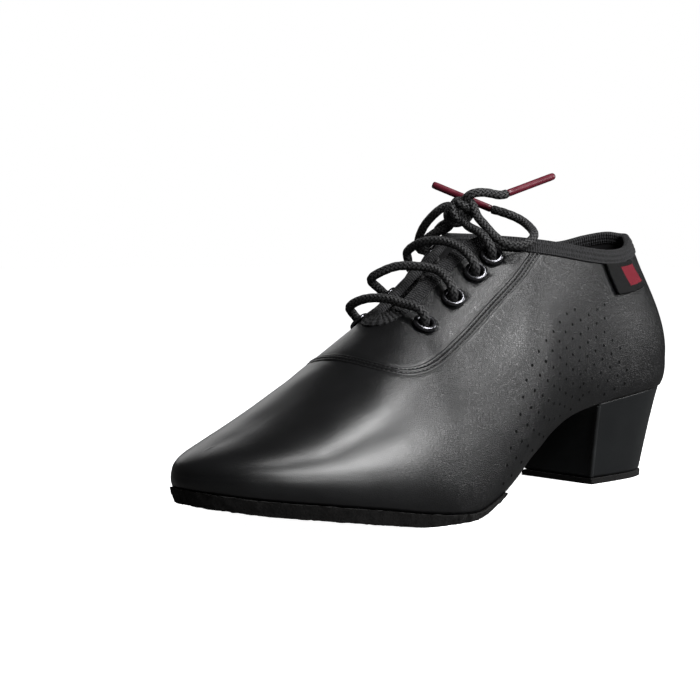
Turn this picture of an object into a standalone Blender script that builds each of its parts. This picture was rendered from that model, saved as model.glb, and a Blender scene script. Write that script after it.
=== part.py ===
"""Left ballroom dance shoe: a lace-up practice shoe on a Cuban heel, with a split sole.

Metres, +Z up, +X towards the toe, +Y to the shoe's left, which is its outer side.
The upper is a skin of ribs. Each rib runs from the feather edge, where the upper
meets the sole, up to the top edge: the collar, the throat or the ridge of the toe.
Everything else takes its place from that skin.
"""
import math

import bmesh
import bpy
from mathutils import Matrix, Vector

MM = 0.001

# Driving dimensions of the last
LENGTH = 243.0 * MM
BALL_WIDTH = 85.5 * MM
HEEL_HEIGHT = 37.8 * MM
COLLAR_HEIGHT = 60.7 * MM
INSTEP_HEIGHT = 64.5 * MM
TOE_SPRING = 10.2 * MM

# Driving dimensions of the pieces
WALL = 1.8 * MM
GAP = 0.3 * MM
SOLE_THICKNESS = 5.0 * MM
SOLE_EDGE = 1.0 * MM
SOLE_CHAMFER = 0.9 * MM
INSOLE_THICKNESS = 2.5 * MM
SEAT_INSET = 0.7 * MM
HEEL_FOOT_LENGTH = 42.5 * MM
HEEL_FOOT_WIDTH = 37.0 * MM
HEEL_FOOT_BACK = 11.5 * MM
BREAST_HOLLOW = 1.6 * MM
LIFT_THICKNESS = 2.2 * MM
LIFT_EDGE = 0.5 * MM
EYELET_BORE = 4.9 * MM
EYELET_BARREL = 0.45 * MM
EYELET_FLANGE = 8.6 * MM
EYELET_HEIGHT = 1.1 * MM
EYELET_SEAT = 0.45 * MM
LACE_DIAMETER = 3.4 * MM
AGLET_LENGTH = 25.0 * MM
AGLET_DIAMETER = 2.8 * MM
KNOT_SIZE = (12.0 * MM, 12.5 * MM, 11.0 * MM)
TAG_THICKNESS = 1.2 * MM
TAG_DROP = 5.0 * MM
TAG_HEIGHT = 12.5 * MM

# Rows of the tables, from the middle of the heel's back to the tip of the toe
ROW_THROAT = 14
ROW_TOE = 21
ROW_BREAST = 4.9
ROWS_WAIST = (4.5, 11.0)
ROW_SOLE_TAIL = 10.65
ROW_STEP = 0.5
RIB_LEVELS = 11
TAG_ROWS = (2.9, 4.4)
TAG_SLANT = 0.4

# Feather edge. Lengths are shares of LENGTH, half widths shares of BALL_WIDTH,
# heel of HEEL_HEIGHT, spring of TOE_SPRING, sole of SOLE_THICKNESS, roll of WALL.
FEATHER_COLUMNS = ("section", "along", "lateral", "medial", "heel", "spring", "sole", "roll")
FEATHER = (
    ("back", 0.0177, 0.000, 0.000, 1.000, 0.00, 0.00, 0.0),
    ("back corner", 0.0230, 0.120, 0.120, 1.000, 0.00, 0.00, 0.0),
    ("counter", 0.0477, 0.230, 0.227, 0.995, 0.00, 0.00, 0.0),
    ("heel side", 0.1029, 0.302, 0.292, 0.974, 0.00, 0.00, 0.0),
    ("seat", 0.1790, 0.323, 0.309, 0.925, 0.00, 0.00, 0.0),
    ("breast", 0.2551, 0.327, 0.306, 0.868, 0.00, 0.00, 0.0),
    ("rear waist", 0.3292, 0.351, 0.313, 0.793, 0.00, 0.00, 1.3),
    ("waist", 0.3868, 0.388, 0.327, 0.680, 0.00, 0.00, 2.0),
    ("arch", 0.4300, 0.421, 0.349, 0.552, 0.00, 0.00, 2.0),
    ("arch front", 0.4650, 0.443, 0.368, 0.432, 0.00, 0.05, 1.6),
    ("shank end", 0.5021, 0.463, 0.386, 0.250, 0.00, 0.25, 0.3),
    ("joint rear", 0.5514, 0.500, 0.409, 0.090, 0.00, 0.46, 0.0),
    ("joint", 0.6049, 0.534, 0.430, 0.000, 0.00, 0.52, 0.0),
    ("outer ball", 0.6358, 0.546, 0.440, 0.000, 0.00, 0.58, 0.0),
    ("ball", 0.6626, 0.545, 0.449, 0.000, 0.00, 0.68, 0.0),
    ("inner ball", 0.7119, 0.524, 0.458, 0.000, 0.03, 0.92, 0.0),
    ("vamp", 0.7716, 0.477, 0.451, 0.000, 0.22, 1.00, 0.0),
    ("toe base", 0.8354, 0.412, 0.398, 0.000, 0.43, 1.00, 0.0),
    ("toe", 0.8992, 0.316, 0.304, 0.000, 0.63, 1.00, 0.0),
    ("toe corner", 0.9465, 0.218, 0.196, 0.000, 0.80, 1.00, 0.0),
    ("toe end", 0.9765, 0.115, 0.098, 0.000, 0.93, 1.00, 0.0),
    ("toe tip", 0.9889, 0.000, 0.000, 0.000, 1.00, 1.00, 0.0),
)

# Top edge over the feather edge: collar in shares of COLLAR_HEIGHT, instep of
# INSTEP_HEIGHT. The inner ankle is higher by the share medial_rise of COLLAR_HEIGHT.
TOP_COLUMNS = ("section", "along", "lateral", "medial", "collar", "instep", "medial_rise")
TOP = (
    ("back", 0.0535, 0.000, 0.000, 1.008, 0.000, 0.000),
    ("back corner", 0.0671, 0.065, 0.065, 0.995, 0.000, 0.025),
    ("counter", 0.0947, 0.135, 0.135, 0.954, 0.000, 0.046),
    ("heel side", 0.1399, 0.205, 0.205, 0.926, 0.000, 0.041),
    ("ankle", 0.1975, 0.251, 0.251, 0.940, 0.000, 0.066),
    ("ankle front", 0.2593, 0.278, 0.278, 0.990, 0.000, 0.079),
    ("collar", 0.3251, 0.285, 0.285, 1.066, 0.000, 0.063),
    ("collar front", 0.3786, 0.264, 0.264, 0.600, 0.527, 0.043),
    ("facing corner", 0.4198, 0.193, 0.193, 0.000, 1.183, 0.025),
    ("facing top", 0.4444, 0.103, 0.103, 0.000, 1.251, 0.013),
    ("throat top", 0.4815, 0.055, 0.055, 0.000, 1.276, 0.000),
    ("throat middle", 0.5432, 0.047, 0.047, 0.000, 1.194, 0.000),
    ("throat low", 0.5988, 0.043, 0.043, 0.000, 1.087, 0.000),
    ("throat turn", 0.6206, 0.034, 0.034, 0.000, 1.040, 0.000),
    ("throat end", 0.6288, 0.000, 0.000, 0.000, 1.008, 0.000),
    ("vamp point", 0.6667, 0.000, 0.000, 0.000, 0.882, 0.000),
    ("vamp", 0.7202, 0.000, 0.000, 0.000, 0.719, 0.000),
    ("toe base", 0.7819, 0.000, 0.000, 0.000, 0.536, 0.000),
    ("toe", 0.8416, 0.000, 0.000, 0.000, 0.382, 0.000),
    ("toe crown", 0.8889, 0.000, 0.000, 0.000, 0.280, 0.000),
    ("toe front", 0.9218, 0.000, 0.000, 0.000, 0.216, 0.000),
    ("toe cap", 0.9383, 0.000, 0.000, 0.000, 0.188, 0.000),
)

# Form of each rib. A lean is the slope of the skin in degrees from the floor, at the
# feather edge and at the top edge, and a pull is how far that slope carries, as a
# share of the rib's span.
RIB_COLUMNS = ("section", "base_lean", "base_pull", "top_lean", "top_pull")
RIBS = (
    ("back", 59.0, 0.38, 62.0, 0.38),
    ("back corner", 60.0, 0.38, 64.0, 0.38),
    ("counter", 64.0, 0.37, 69.0, 0.38),
    ("heel side", 74.0, 0.32, 78.0, 0.34),
    ("ankle", 78.0, 0.31, 83.0, 0.33),
    ("ankle front", 76.0, 0.31, 82.0, 0.33),
    ("collar", 70.0, 0.31, 78.0, 0.32),
    ("collar front", 66.0, 0.31, 67.0, 0.31),
    ("facing corner", 65.0, 0.31, 46.0, 0.30),
    ("facing top", 66.0, 0.31, 27.0, 0.29),
    ("throat top", 70.0, 0.31, 19.0, 0.29),
    ("throat middle", 76.0, 0.31, 17.0, 0.30),
    ("throat low", 81.0, 0.31, 17.0, 0.31),
    ("throat turn", 82.0, 0.31, 12.0, 0.32),
    ("throat end", 82.0, 0.31, 4.0, 0.33),
    ("vamp point", 82.0, 0.32, 0.0, 0.34),
    ("vamp", 81.0, 0.33, 0.0, 0.37),
    ("toe base", 79.0, 0.36, 0.0, 0.41),
    ("toe", 76.0, 0.41, 0.0, 0.45),
    ("toe corner", 72.0, 0.47, 0.0, 0.48),
    ("toe end", 69.0, 0.53, 0.0, 0.50),
    ("toe tip", 68.0, 0.56, 0.0, 0.50),
)

# Eyelets from the toe end up: row of the rib and distance down it from the throat edge
EYELETS = ((12.15, 14.3 * MM), (11.05, 14.5 * MM), (10.25, 13.2 * MM), (9.4, 11.3 * MM))

# Lace crossings: share of the way from the outer eyelet to the inner one, then
# millimetres ahead of and above the straight line between them
BAR_FORMS = (
    ((0.20, 3.4, 7.2), (0.40, 4.6, 9.0), (0.65, 6.0, 9.4), (0.86, 6.6, 8.0), (1.00, 6.2, 5.8)),
    ((0.20, 1.2, 10.1), (0.42, 3.8, 11.6), (0.65, 7.0, 11.8), (0.84, 9.6, 9.6), (0.99, 10.2, 6.9)),
    ((0.21, 2.0, 9.8), (0.44, 3.6, 12.0), (0.70, 5.0, 11.6), (0.88, 4.8, 9.8), (1.01, 4.2, 7.4)),
)

# Lace above the top eyelets: hand-laid points in millimetres from the back of the heel
KNOT_POINT = (109.7, 0.0, 107.3)
LOOP_ROUTE = (
    (108.4, -7.8, 109.6), (109.6, -9.6, 108.9), (110.5, -12.0, 107.2), (110.2, -16.0, 104.7),
    (110.0, -19.0, 102.3), (109.1, -22.0, 99.6), (107.5, -25.0, 96.5), (104.8, -27.8, 93.6),
    (101.1, -29.0, 92.1), (99.6, -27.5, 93.8), (101.4, -24.5, 97.0), (103.6, -20.0, 99.8),
    (105.2, -15.0, 101.9), (105.2, -11.6, 103.2), (105.4, -8.8, 104.2),
)
END_A_ROUTE = (
    (110.7, 4.6, 113.0), (109.9, 6.2, 113.8), (107.4, 7.8, 114.2), (103.5, 9.2, 113.9),
    (100.4, 11.2, 113.0), (97.5, 11.8, 113.7),
)
END_B_ROUTE = (
    (109.8, 8.2, 105.2), (109.6, 10.5, 103.3), (109.2, 13.0, 100.8), (108.7, 15.5, 98.3),
    (108.0, 17.8, 96.4), (107.1, 20.2, 95.0), (105.2, 22.3, 94.3), (102.9, 24.0, 94.3),
    (100.2, 25.2, 95.3), (97.4, 25.3, 97.0), (95.1, 23.8, 98.6), (92.9, 20.5, 100.4),
    (91.6, 15.5, 103.2), (92.3, 12.0, 105.0), (93.7, 9.3, 106.2), (94.7, 6.0, 107.3),
    (95.3, 3.0, 108.0),
)
AGLET_A_TIP = (71.8, 14.0, 121.4)
AGLET_B_TIP = (107.2, -17.5, 117.8)


def table_value(table, columns, name, row, odd=False):
    """A table's column at any row, smooth through the rows and across both ends."""
    index = columns.index(name)
    last = len(table) - 1
    sign = -1.0 if odd else 1.0

    def entry(number):
        if number < 0:
            return sign * table[-number][index]
        if number > last:
            return sign * table[2 * last - number][index]
        return table[number][index]

    base = min(int(math.floor(row)), last - 1)
    t = row - base
    a, b, c, d = (entry(base + step) for step in (-1, 0, 1, 2))
    return 0.5 * (2 * b + (c - a) * t + (2 * a - 5 * b + 4 * c - d) * t ** 2
                  + (3 * b - a - 3 * c + d) * t ** 3)


def top_value(name, row, odd=False):
    """The top table, read apart on the rim and on the ridge, which meet at a corner."""
    if row <= ROW_THROAT:
        return table_value(TOP[:ROW_THROAT + 1], TOP_COLUMNS, name, row, odd)
    ridge = TOP[ROW_THROAT:]
    index = TOP_COLUMNS.index(name)
    before = tuple(2 * a - b if isinstance(a, float) else a for a, b in zip(ridge[0], ridge[1]))
    place = row - ROW_THROAT
    if place >= 1.0:
        return table_value(ridge, TOP_COLUMNS, name, place)
    a, b, c, d = before[index], ridge[0][index], ridge[1][index], ridge[2][index]
    return 0.5 * (2 * b + (c - a) * place + (2 * a - 5 * b + 4 * c - d) * place ** 2
                  + (3 * b - a - 3 * c + d) * place ** 3)


def side_name(side):
    return "lateral" if side > 0 else "medial"


def feather_height(row):
    heel = table_value(FEATHER, FEATHER_COLUMNS, "heel", row)
    return max(0.0, heel) * HEEL_HEIGHT + sole_lift(row) + sole_depth(row) + GAP


def sole_lift(row):
    return max(0.0, table_value(FEATHER, FEATHER_COLUMNS, "spring", row)) * TOE_SPRING


def sole_depth(row):
    return max(0.0, table_value(FEATHER, FEATHER_COLUMNS, "sole", row)) * SOLE_THICKNESS


def feather(row, side):
    """A point of the upper's bottom edge."""
    if row < 0 or row > ROW_TOE:
        return feather(abs(row) if row < 0 else 2 * ROW_TOE - row, -side)
    along = table_value(FEATHER, FEATHER_COLUMNS, "along", row) * LENGTH
    half = table_value(FEATHER, FEATHER_COLUMNS, side_name(side), row, odd=True) * BALL_WIDTH
    return Vector((along, side * half, feather_height(row)))


def feather_normal(row, side):
    """The feather edge's outward direction, seen from above."""
    step = 0.05
    ahead = feather(row + step, side)
    behind = feather(row - step, side)
    run = ahead - behind
    return Vector((run.y * -side, run.x * side, 0.0)).normalized()


def top_edge(row, side):
    """A point of the upper's top edge, or of the ridge past the throat."""
    along = top_value("along", row) * LENGTH
    half = 0.0
    if row < ROW_THROAT:
        half = top_value(side_name(side), row, odd=True) * BALL_WIDTH
    height = top_value("collar", row) * COLLAR_HEIGHT + top_value("instep", row) * INSTEP_HEIGHT
    if side < 0:
        height += top_value("medial_rise", row) * COLLAR_HEIGHT
    return Vector((along, side * half, feather_height(row) + height))


def ridge_direction(row):
    """Direction of the ridge, fading to level behind the throat."""
    step = 0.1
    place = min(max(row, ROW_THROAT + step), ROW_TOE - 1.0)
    run = (top_edge(place + step, 1) - top_edge(place - step, 1)).normalized()
    share = min(max((row - ROW_THROAT + 3.0) / 3.0, 0.0), 1.0)
    return Vector((1.0, 0.0, share * run.z / run.x)).normalized()


def rib(row, side):
    """The four control points of the rib at a row."""
    base = feather(row, side)
    top = top_edge(row, side)
    outward = feather_normal(row, side)
    span = (top - base).length
    lean = math.radians(table_value(RIBS, RIB_COLUMNS, "base_lean", row))
    pull = table_value(RIBS, RIB_COLUMNS, "base_pull", row) * span
    low = base + pull * (outward * math.cos(lean) + Vector((0.0, 0.0, math.sin(lean))))
    lean = math.radians(table_value(RIBS, RIB_COLUMNS, "top_lean", row))
    pull = table_value(RIBS, RIB_COLUMNS, "top_pull", row) * span
    across = ridge_direction(row) * outward.x + Vector((0.0, outward.y, 0.0))
    high = top + pull * (across * math.cos(lean) - Vector((0.0, 0.0, math.sin(lean))))
    return base, low, high, top


def skin(row, level, side):
    """A point of the upper's outer skin, level 0 at the feather edge and 1 on top."""
    if row < 0 or row > ROW_TOE:
        return skin(abs(row) if row < 0 else 2 * ROW_TOE - row, level, -side)
    base, low, high, top = rib(row, side)
    rest = 1.0 - level
    return (base * rest ** 3 + low * 3 * rest ** 2 * level
            + high * 3 * rest * level ** 2 + top * level ** 3)


def skin_normal(row, level, side):
    """The skin's outward direction."""
    step = 0.02
    level = min(max(level, step), 1.0 - 1.5 * step)
    along = skin(row + step, level, side) - skin(row - step, level, side)
    up = skin(row, level + step, side) - skin(row, level - step, side)
    return along.cross(up).normalized() * -side


def lining(row, level, side):
    """The inner face of the upper's wall, behind the skin."""
    point = skin(row, level, side)
    if level <= 0.0:
        inner = point - feather_normal(row, side) * WALL
        if ROWS_WAIST[0] <= row <= ROWS_WAIST[1]:
            inner.z += WALL
        return inner
    normal = skin_normal(row, level, side)
    if row >= ROW_THROAT and level >= 1.0:
        normal += skin_normal(row, level, -side)
        normal.y = 0.0
        normal.normalize()
    return point - normal * WALL


def level_below_edge(row, side, distance):
    """The level that lies a distance down the skin from the top edge."""
    steps = 200
    walked = 0.0
    last = skin(row, 1.0, side)
    for number in range(1, steps):
        level = 1.0 - number / steps
        point = skin(row, level, side)
        walked += (point - last).length
        if walked >= distance:
            return level
        last = point
    return 0.0


def rows_between(first, last, step=ROW_STEP):
    count = max(1, round((last - first) / step))
    return [first + (last - first) * number / count for number in range(count + 1)]


def new_material(name, colour, roughness, metallic=0.0):
    material = bpy.data.materials.new(name)
    material.use_nodes = True
    shader = material.node_tree.nodes["Principled BSDF"]
    shader.inputs["Base Color"].default_value = (*colour, 1.0)
    shader.inputs["Roughness"].default_value = roughness
    shader.inputs["Metallic"].default_value = metallic
    material.diffuse_color = (*colour, 1.0)
    return material


def new_object(name, data, material):
    item = bpy.data.objects.new(name, data)
    data.materials.append(material)
    bpy.context.scene.collection.objects.link(item)
    return item


def finish_mesh(name, mesh_data, material, smooth_angle=40.0):
    """Close a bmesh into an object, with its double points merged."""
    bmesh.ops.remove_doubles(mesh_data, verts=mesh_data.verts, dist=0.002 * MM)
    bmesh.ops.recalc_face_normals(mesh_data, faces=mesh_data.faces)
    mesh = bpy.data.meshes.new(name)
    mesh_data.to_mesh(mesh)
    mesh_data.free()
    mesh.shade_smooth()
    mesh.set_sharp_from_angle(angle=math.radians(smooth_angle))
    return new_object(name, mesh, material)


def add_points(mesh_data, points):
    return [mesh_data.verts.new(point) for point in points]


def add_strip(mesh_data, first, second, closed=False):
    """Faces between two rows of points of the same number."""
    count = len(first)
    for number in range(count if closed else count - 1):
        after = (number + 1) % count
        corners = [first[number], first[after], second[after], second[number]]
        spots = []
        for corner in corners:
            if all((corner.co - other.co).length > 0.002 * MM for other in spots):
                spots.append(corner)
        if len(spots) > 2:
            mesh_data.faces.new(spots)


def around(first_row, last_row, step=ROW_STEP):
    """Rows and sides round the shoe, from one row forward on the outer side and back."""
    rows = rows_between(first_row, last_row, step)
    outer = [(row, 1) for row in rows]
    inner = [(row, -1) for row in reversed(rows)]
    return outer + inner


def waist_outer(row, share):
    """The leather under the arch, rolled over its two edges."""
    roll = max(0.0, table_value(FEATHER, FEATHER_COLUMNS, "roll", row)) * WALL
    lean = math.radians(table_value(RIBS, RIB_COLUMNS, "base_lean", row))
    ends = []
    for side in (1, -1):
        point = feather(row, side)
        inward = feather_normal(row, side) * -math.cos(lean)
        ends.append((point, point + roll * (inward - Vector((0.0, 0.0, math.sin(lean))))))
    rest = 1.0 - share
    return (ends[0][0] * rest ** 3 + ends[0][1] * 3 * rest ** 2 * share
            + ends[1][1] * 3 * rest * share ** 2 + ends[1][0] * share ** 3)


def waist_inner(row, share):
    """The inner face of the leather under the arch."""
    outer = waist_outer(row, share)
    start = feather(row, 1)
    end = feather(row, -1)
    across = (start.y - outer.y) / (start.y - end.y)
    point = lining(row, 0.0, 1).lerp(lining(row, 0.0, -1), across)
    point.z = outer.z + WALL
    return point


def make_upper(material):
    """Vamp and quarters as one hollow shell, open at the collar, throat, seat and forefoot."""
    mesh_data = bmesh.new()
    levels = [number / RIB_LEVELS for number in range(RIB_LEVELS + 1)]
    ring = around(0, ROW_TOE)[1:-1]
    ring.remove((ROW_TOE, -1))
    ring.append((0, 1))
    outer = [add_points(mesh_data, [skin(row, level, side) for row, side in ring])
             for level in levels]
    inner = [add_points(mesh_data, [lining(row, level, side) for row, side in ring])
             for level in levels]
    for below, above in zip(outer, outer[1:]):
        add_strip(mesh_data, below, above, closed=True)
    for below, above in zip(inner, inner[1:]):
        add_strip(mesh_data, below, above, closed=True)

    count = len(ring)
    for number, (row, side) in enumerate(ring):
        after = (number + 1) % count
        middle = 0.5 * (row + ring[after][0])
        if middle < ROW_THROAT:
            corners = (outer[-1][number], outer[-1][after], inner[-1][after], inner[-1][number])
            mesh_data.faces.new(corners)
        if not ROWS_WAIST[0] < middle < ROWS_WAIST[1]:
            corners = (outer[0][number], outer[0][after], inner[0][after], inner[0][number])
            mesh_data.faces.new(corners)

    shares = (0.0, 0.07, 0.18, 0.36, 0.64, 0.82, 0.93, 1.0)
    waist_rows = rows_between(*ROWS_WAIST)
    under = [add_points(mesh_data, [waist_outer(row, share) for share in shares])
             for row in waist_rows]
    above = [add_points(mesh_data, [waist_inner(row, share) for share in shares])
             for row in waist_rows]
    for face_rows in (under, above):
        for first, second in zip(face_rows, face_rows[1:]):
            add_strip(mesh_data, first, second)
    for end in (0, -1):
        add_strip(mesh_data, under[end], above[end])
    return finish_mesh("upper", mesh_data, material)


def slab(name, rows, material, offset, bottom, top, chamfer=0.0, columns=6):
    """A sheet that follows the foot from row to row, its outline the feather edge."""
    mesh_data = bmesh.new()

    def line(row, out, height):
        ends = []
        for side in (1, -1):
            point = feather(row, side) + feather_normal(row, side) * out
            point.z = height
            ends.append(point)
        return add_points(mesh_data, [ends[0].lerp(ends[1], number / columns)
                                      for number in range(columns + 1)])

    upper_rows = [line(row, offset, top(row)) for row in rows]
    lower_rows = [line(row, offset - chamfer, bottom(row)) for row in rows]
    for face_rows in (upper_rows, lower_rows):
        for first, second in zip(face_rows, face_rows[1:]):
            add_strip(mesh_data, first, second)
    edges = [upper_rows, lower_rows]
    if chamfer > 0.0:
        waist_rows = [line(row, offset, bottom(row) + chamfer) for row in rows]
        edges.insert(1, waist_rows)
    for above, below in zip(edges, edges[1:]):
        for side in (0, -1):
            add_strip(mesh_data, [line_points[side] for line_points in above],
                      [line_points[side] for line_points in below])
        for end in (0, -1):
            add_strip(mesh_data, above[end], below[end])
    loose = [vert for vert in mesh_data.verts if not vert.link_faces]
    bmesh.ops.delete(mesh_data, geom=loose, context="VERTS")
    return finish_mesh(name, mesh_data, material)


def sole_bottom(row):
    return feather_height(row) - GAP - sole_depth(row)


def sole_top(row):
    return feather_height(row) - GAP


def insole_bottom(row):
    """The insole lies over the leather of the waist and comes down in front and behind."""
    ramp = 1.0
    rise = min(max((row - ROWS_WAIST[0] + ramp) / ramp, 0.0), 1.0)
    fall = min(max((ROWS_WAIST[1] + ramp - row) / ramp, 0.0), 1.0)
    share = min(rise, fall)
    smooth = share * share * (3.0 - 2.0 * share)
    return feather_height(row) + smooth * (WALL + GAP)


def insole_top(row):
    return insole_bottom(row) + INSOLE_THICKNESS


def seat_outline(breast_points=3):
    """Top outline of the heel, round from the outer breast corner to the inner one."""
    rows = rows_between(0, ROW_BREAST)
    outer = [(row, 1) for row in reversed(rows)]
    inner = [(row, -1) for row in rows[1:]]
    points = []
    for row, side in outer + inner:
        point = feather(row, side) - feather_normal(row, side) * SEAT_INSET
        point.z = sole_top(row)
        points.append(point)
    breast = [points[-1].lerp(points[0], number / (breast_points + 1))
              for number in range(1, breast_points + 1)]
    return points, breast


def foot_point(point, start, end, half, outward=0.0):
    """The heel's small end, from the same outline drawn in."""
    share = (point.x - start) / (end - start)
    along = HEEL_FOOT_BACK - outward + share * (HEEL_FOOT_LENGTH + 2 * outward)
    across = point.y / half * (0.5 * HEEL_FOOT_WIDTH + outward)
    return along, across


def make_heel(material):
    """Cuban heel block, leaning forward at the back, with a hollowed breast."""
    mesh_data = bmesh.new()
    points, breast = seat_outline()
    start = min(point.x for point in points)
    end = max(point.x for point in points)
    half = max(abs(point.y) for point in points)
    foot = LIFT_THICKNESS + GAP
    levels = 7
    loops = []
    for number in range(levels + 1):
        share = number / levels
        narrowing = share ** 0.88
        loop = []
        for place, point in enumerate(points + breast):
            along, across = foot_point(point, start, end, half)
            spot = Vector((along, across, foot))
            spot = Vector((point.x + (spot.x - point.x) * narrowing,
                           point.y + (spot.y - point.y) * narrowing,
                           point.z + (spot.z - point.z) * share))
            if place >= len(points):
                spot.x -= BREAST_HOLLOW * math.sin(math.pi * share)
            loop.append(spot)
        loops.append(add_points(mesh_data, loop))
    for above, below in zip(loops, loops[1:]):
        add_strip(mesh_data, above, below, closed=True)
    sides = len(points)
    middle = sides // 2
    for loop in (loops[0], loops[-1]):
        mesh_data.faces.new([loop[0], loop[1], loop[sides - 2]] + loop[sides - 1:])
        for number in range(1, middle - 1):
            mesh_data.faces.new((loop[number], loop[number + 1],
                                 loop[sides - 2 - number], loop[sides - 1 - number]))
        mesh_data.faces.new((loop[middle - 1], loop[middle], loop[middle + 1]))
    return finish_mesh("heel", mesh_data, material)


def make_heel_lift(material):
    """Top piece under the heel, a flat wearing patch a little larger than the block."""
    mesh_data = bmesh.new()
    points, breast = seat_outline(breast_points=0)
    start = min(point.x for point in points)
    end = max(point.x for point in points)
    half = max(abs(point.y) for point in points)
    outline = [foot_point(point, start, end, half, LIFT_EDGE) for point in points]
    low = add_points(mesh_data, [(along, across, 0.0) for along, across in outline])
    high = add_points(mesh_data, [(along, across, LIFT_THICKNESS) for along, across in outline])
    add_strip(mesh_data, low, high, closed=True)
    mesh_data.faces.new(low)
    mesh_data.faces.new(high)
    return finish_mesh("heel_lift", mesh_data, material)


def eyelet_frame(place, side):
    """Place of an eyelet, on the highest leather under its flange, with Z pointing out."""
    row, setback = place
    level = level_below_edge(row, side, setback)
    centre = skin(row, level, side)
    normal = skin_normal(row, level, side)
    crown = 0.0
    steps = (-1.0, -0.66, -0.33, 0.0, 0.33, 0.66, 1.0)
    for row_step in steps:
        for level_step in steps:
            way = skin(row + 0.5 * row_step, level + 0.1 * level_step, side) - centre
            height = way.dot(normal)
            if (way - normal * height).length < 0.55 * EYELET_FLANGE:
                crown = max(crown, height)
    centre += normal * crown
    turn = normal.to_track_quat("Z", "X").to_matrix().to_4x4()
    return Matrix.Translation(centre) @ turn


def make_eyelet_holes(upper):
    """Punch the eyelet holes through the upper's wall."""
    radius = 0.5 * EYELET_BORE + EYELET_BARREL + GAP
    mesh_data = bmesh.new()
    for place in EYELETS:
        for side in (1, -1):
            bmesh.ops.create_cone(mesh_data, cap_ends=True, segments=12, radius1=radius,
                                  radius2=radius, depth=6 * WALL,
                                  matrix=eyelet_frame(place, side))
    mesh = bpy.data.meshes.new("eyelet_holes")
    mesh_data.to_mesh(mesh)
    mesh_data.free()
    cutter = bpy.data.objects.new("eyelet_holes", mesh)
    bpy.context.scene.collection.objects.link(cutter)
    cutter.hide_render = True
    cutter.display_type = "WIRE"
    cut = upper.modifiers.new("eyelet holes", "BOOLEAN")
    cut.operation = "DIFFERENCE"
    cut.object = cutter
    return cutter


def make_eyelet_mesh():
    """A turned eyelet: rolled flange on the leather and a barrel through it."""
    bore = 0.5 * EYELET_BORE
    barrel = bore + EYELET_BARREL
    flange = 0.5 * EYELET_FLANGE
    depth = WALL + 3 * GAP
    profile = (
        (bore, -depth), (barrel, -depth), (barrel, EYELET_SEAT), (flange, EYELET_SEAT),
        (flange, EYELET_SEAT + 0.35 * EYELET_HEIGHT),
        (0.5 * (flange + barrel), EYELET_SEAT + EYELET_HEIGHT),
        (bore, EYELET_SEAT + 0.55 * EYELET_HEIGHT),
    )
    mesh_data = bmesh.new()
    sides = 12
    rings = []
    for radius, height in profile:
        ring = [(radius * math.cos(2 * math.pi * number / sides),
                 radius * math.sin(2 * math.pi * number / sides), height)
                for number in range(sides)]
        rings.append(add_points(mesh_data, ring))
    for number, ring in enumerate(rings):
        add_strip(mesh_data, ring, rings[(number + 1) % len(rings)], closed=True)
    bmesh.ops.recalc_face_normals(mesh_data, faces=mesh_data.faces)
    mesh = bpy.data.meshes.new("eyelet")
    mesh_data.to_mesh(mesh)
    mesh_data.free()
    mesh.shade_smooth()
    mesh.set_sharp_from_angle(angle=math.radians(40.0))
    return mesh


def smooth_route(points, count):
    """Evenly numbered points on one smooth curve through the given points."""
    last = len(points) - 1
    result = []
    for number in range(count + 1):
        place = last * number / count
        base = min(int(place), last - 1)
        t = place - base
        a = points[max(base - 1, 0)]
        b = points[base]
        c = points[base + 1]
        d = points[min(base + 2, last)]
        result.append(0.5 * (2 * b + (c - a) * t + (2 * a - 5 * b + 4 * c - d) * t ** 2
                             + (3 * b - a - 3 * c + d) * t ** 3))
    return result


def make_tube(name, points, diameter, material, spacing=2.0):
    """A round cord along a smooth curve through the points."""
    length = sum((b - a).length for a, b in zip(points, points[1:]))
    count = max(6, round(length / (spacing * diameter)))
    curve = bpy.data.curves.new(name, "CURVE")
    curve.dimensions = "3D"
    curve.bevel_depth = 0.5 * diameter
    curve.bevel_resolution = 2
    curve.use_fill_caps = True
    spline = curve.splines.new("POLY")
    route = smooth_route(points, count)
    spline.points.add(len(route) - 1)
    for spot, point in zip(spline.points, route):
        spot.co = (*point, 1.0)
    return new_object(name, curve, material)


def lace_mouth(place, side, target):
    """Lace points out of an eyelet and over its flange, on the way to a target."""
    frame = eyelet_frame(place, side)
    centre = frame.translation
    out = frame.to_3x3() @ Vector((0.0, 0.0, 1.0))
    way = target - centre
    way -= out * way.dot(out)
    way.normalize()
    radius = 0.5 * LACE_DIAMETER
    over = EYELET_SEAT + EYELET_HEIGHT + radius
    points = [centre - out * (WALL + GAP), centre + out * 0.5 * over,
              centre + out * (over + 0.1 * radius) + way * 0.35 * radius,
              centre + out * (over + 0.9 * radius) + way * 0.5 * EYELET_FLANGE]
    return points


def make_lace_bar(number, place, form, material):
    """One lace crossing: out of one eyelet, over the throat and down the other."""
    start = eyelet_frame(place, 1).translation
    end = eyelet_frame(place, -1).translation
    span = [start.lerp(end, share) + Vector((ahead, 0.0, up)) * MM for share, ahead, up in form]
    points = lace_mouth(place, 1, span[0]) + span + lace_mouth(place, -1, span[-1])[::-1]
    return make_tube(f"lace_bar_{number}", points, LACE_DIAMETER, material, spacing=0.8)


def hung(point):
    """A hand-laid lace point, moved with the top of the facings it hangs over."""
    corner = top_edge(ROW_THROAT - 5, 1)
    return Vector((corner.x - 108.0 * MM, 0.0, corner.z - 97.6 * MM)) + Vector(point) * MM


def make_knot(material):
    """The knot's lump, where the lace winds round itself."""
    mesh_data = bmesh.new()
    bmesh.ops.create_uvsphere(mesh_data, u_segments=14, v_segments=9, radius=0.5)
    bmesh.ops.scale(mesh_data, vec=KNOT_SIZE, verts=mesh_data.verts)
    bmesh.ops.translate(mesh_data, vec=hung(KNOT_POINT), verts=mesh_data.verts)
    return finish_mesh("lace_knot", mesh_data, material)


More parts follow.
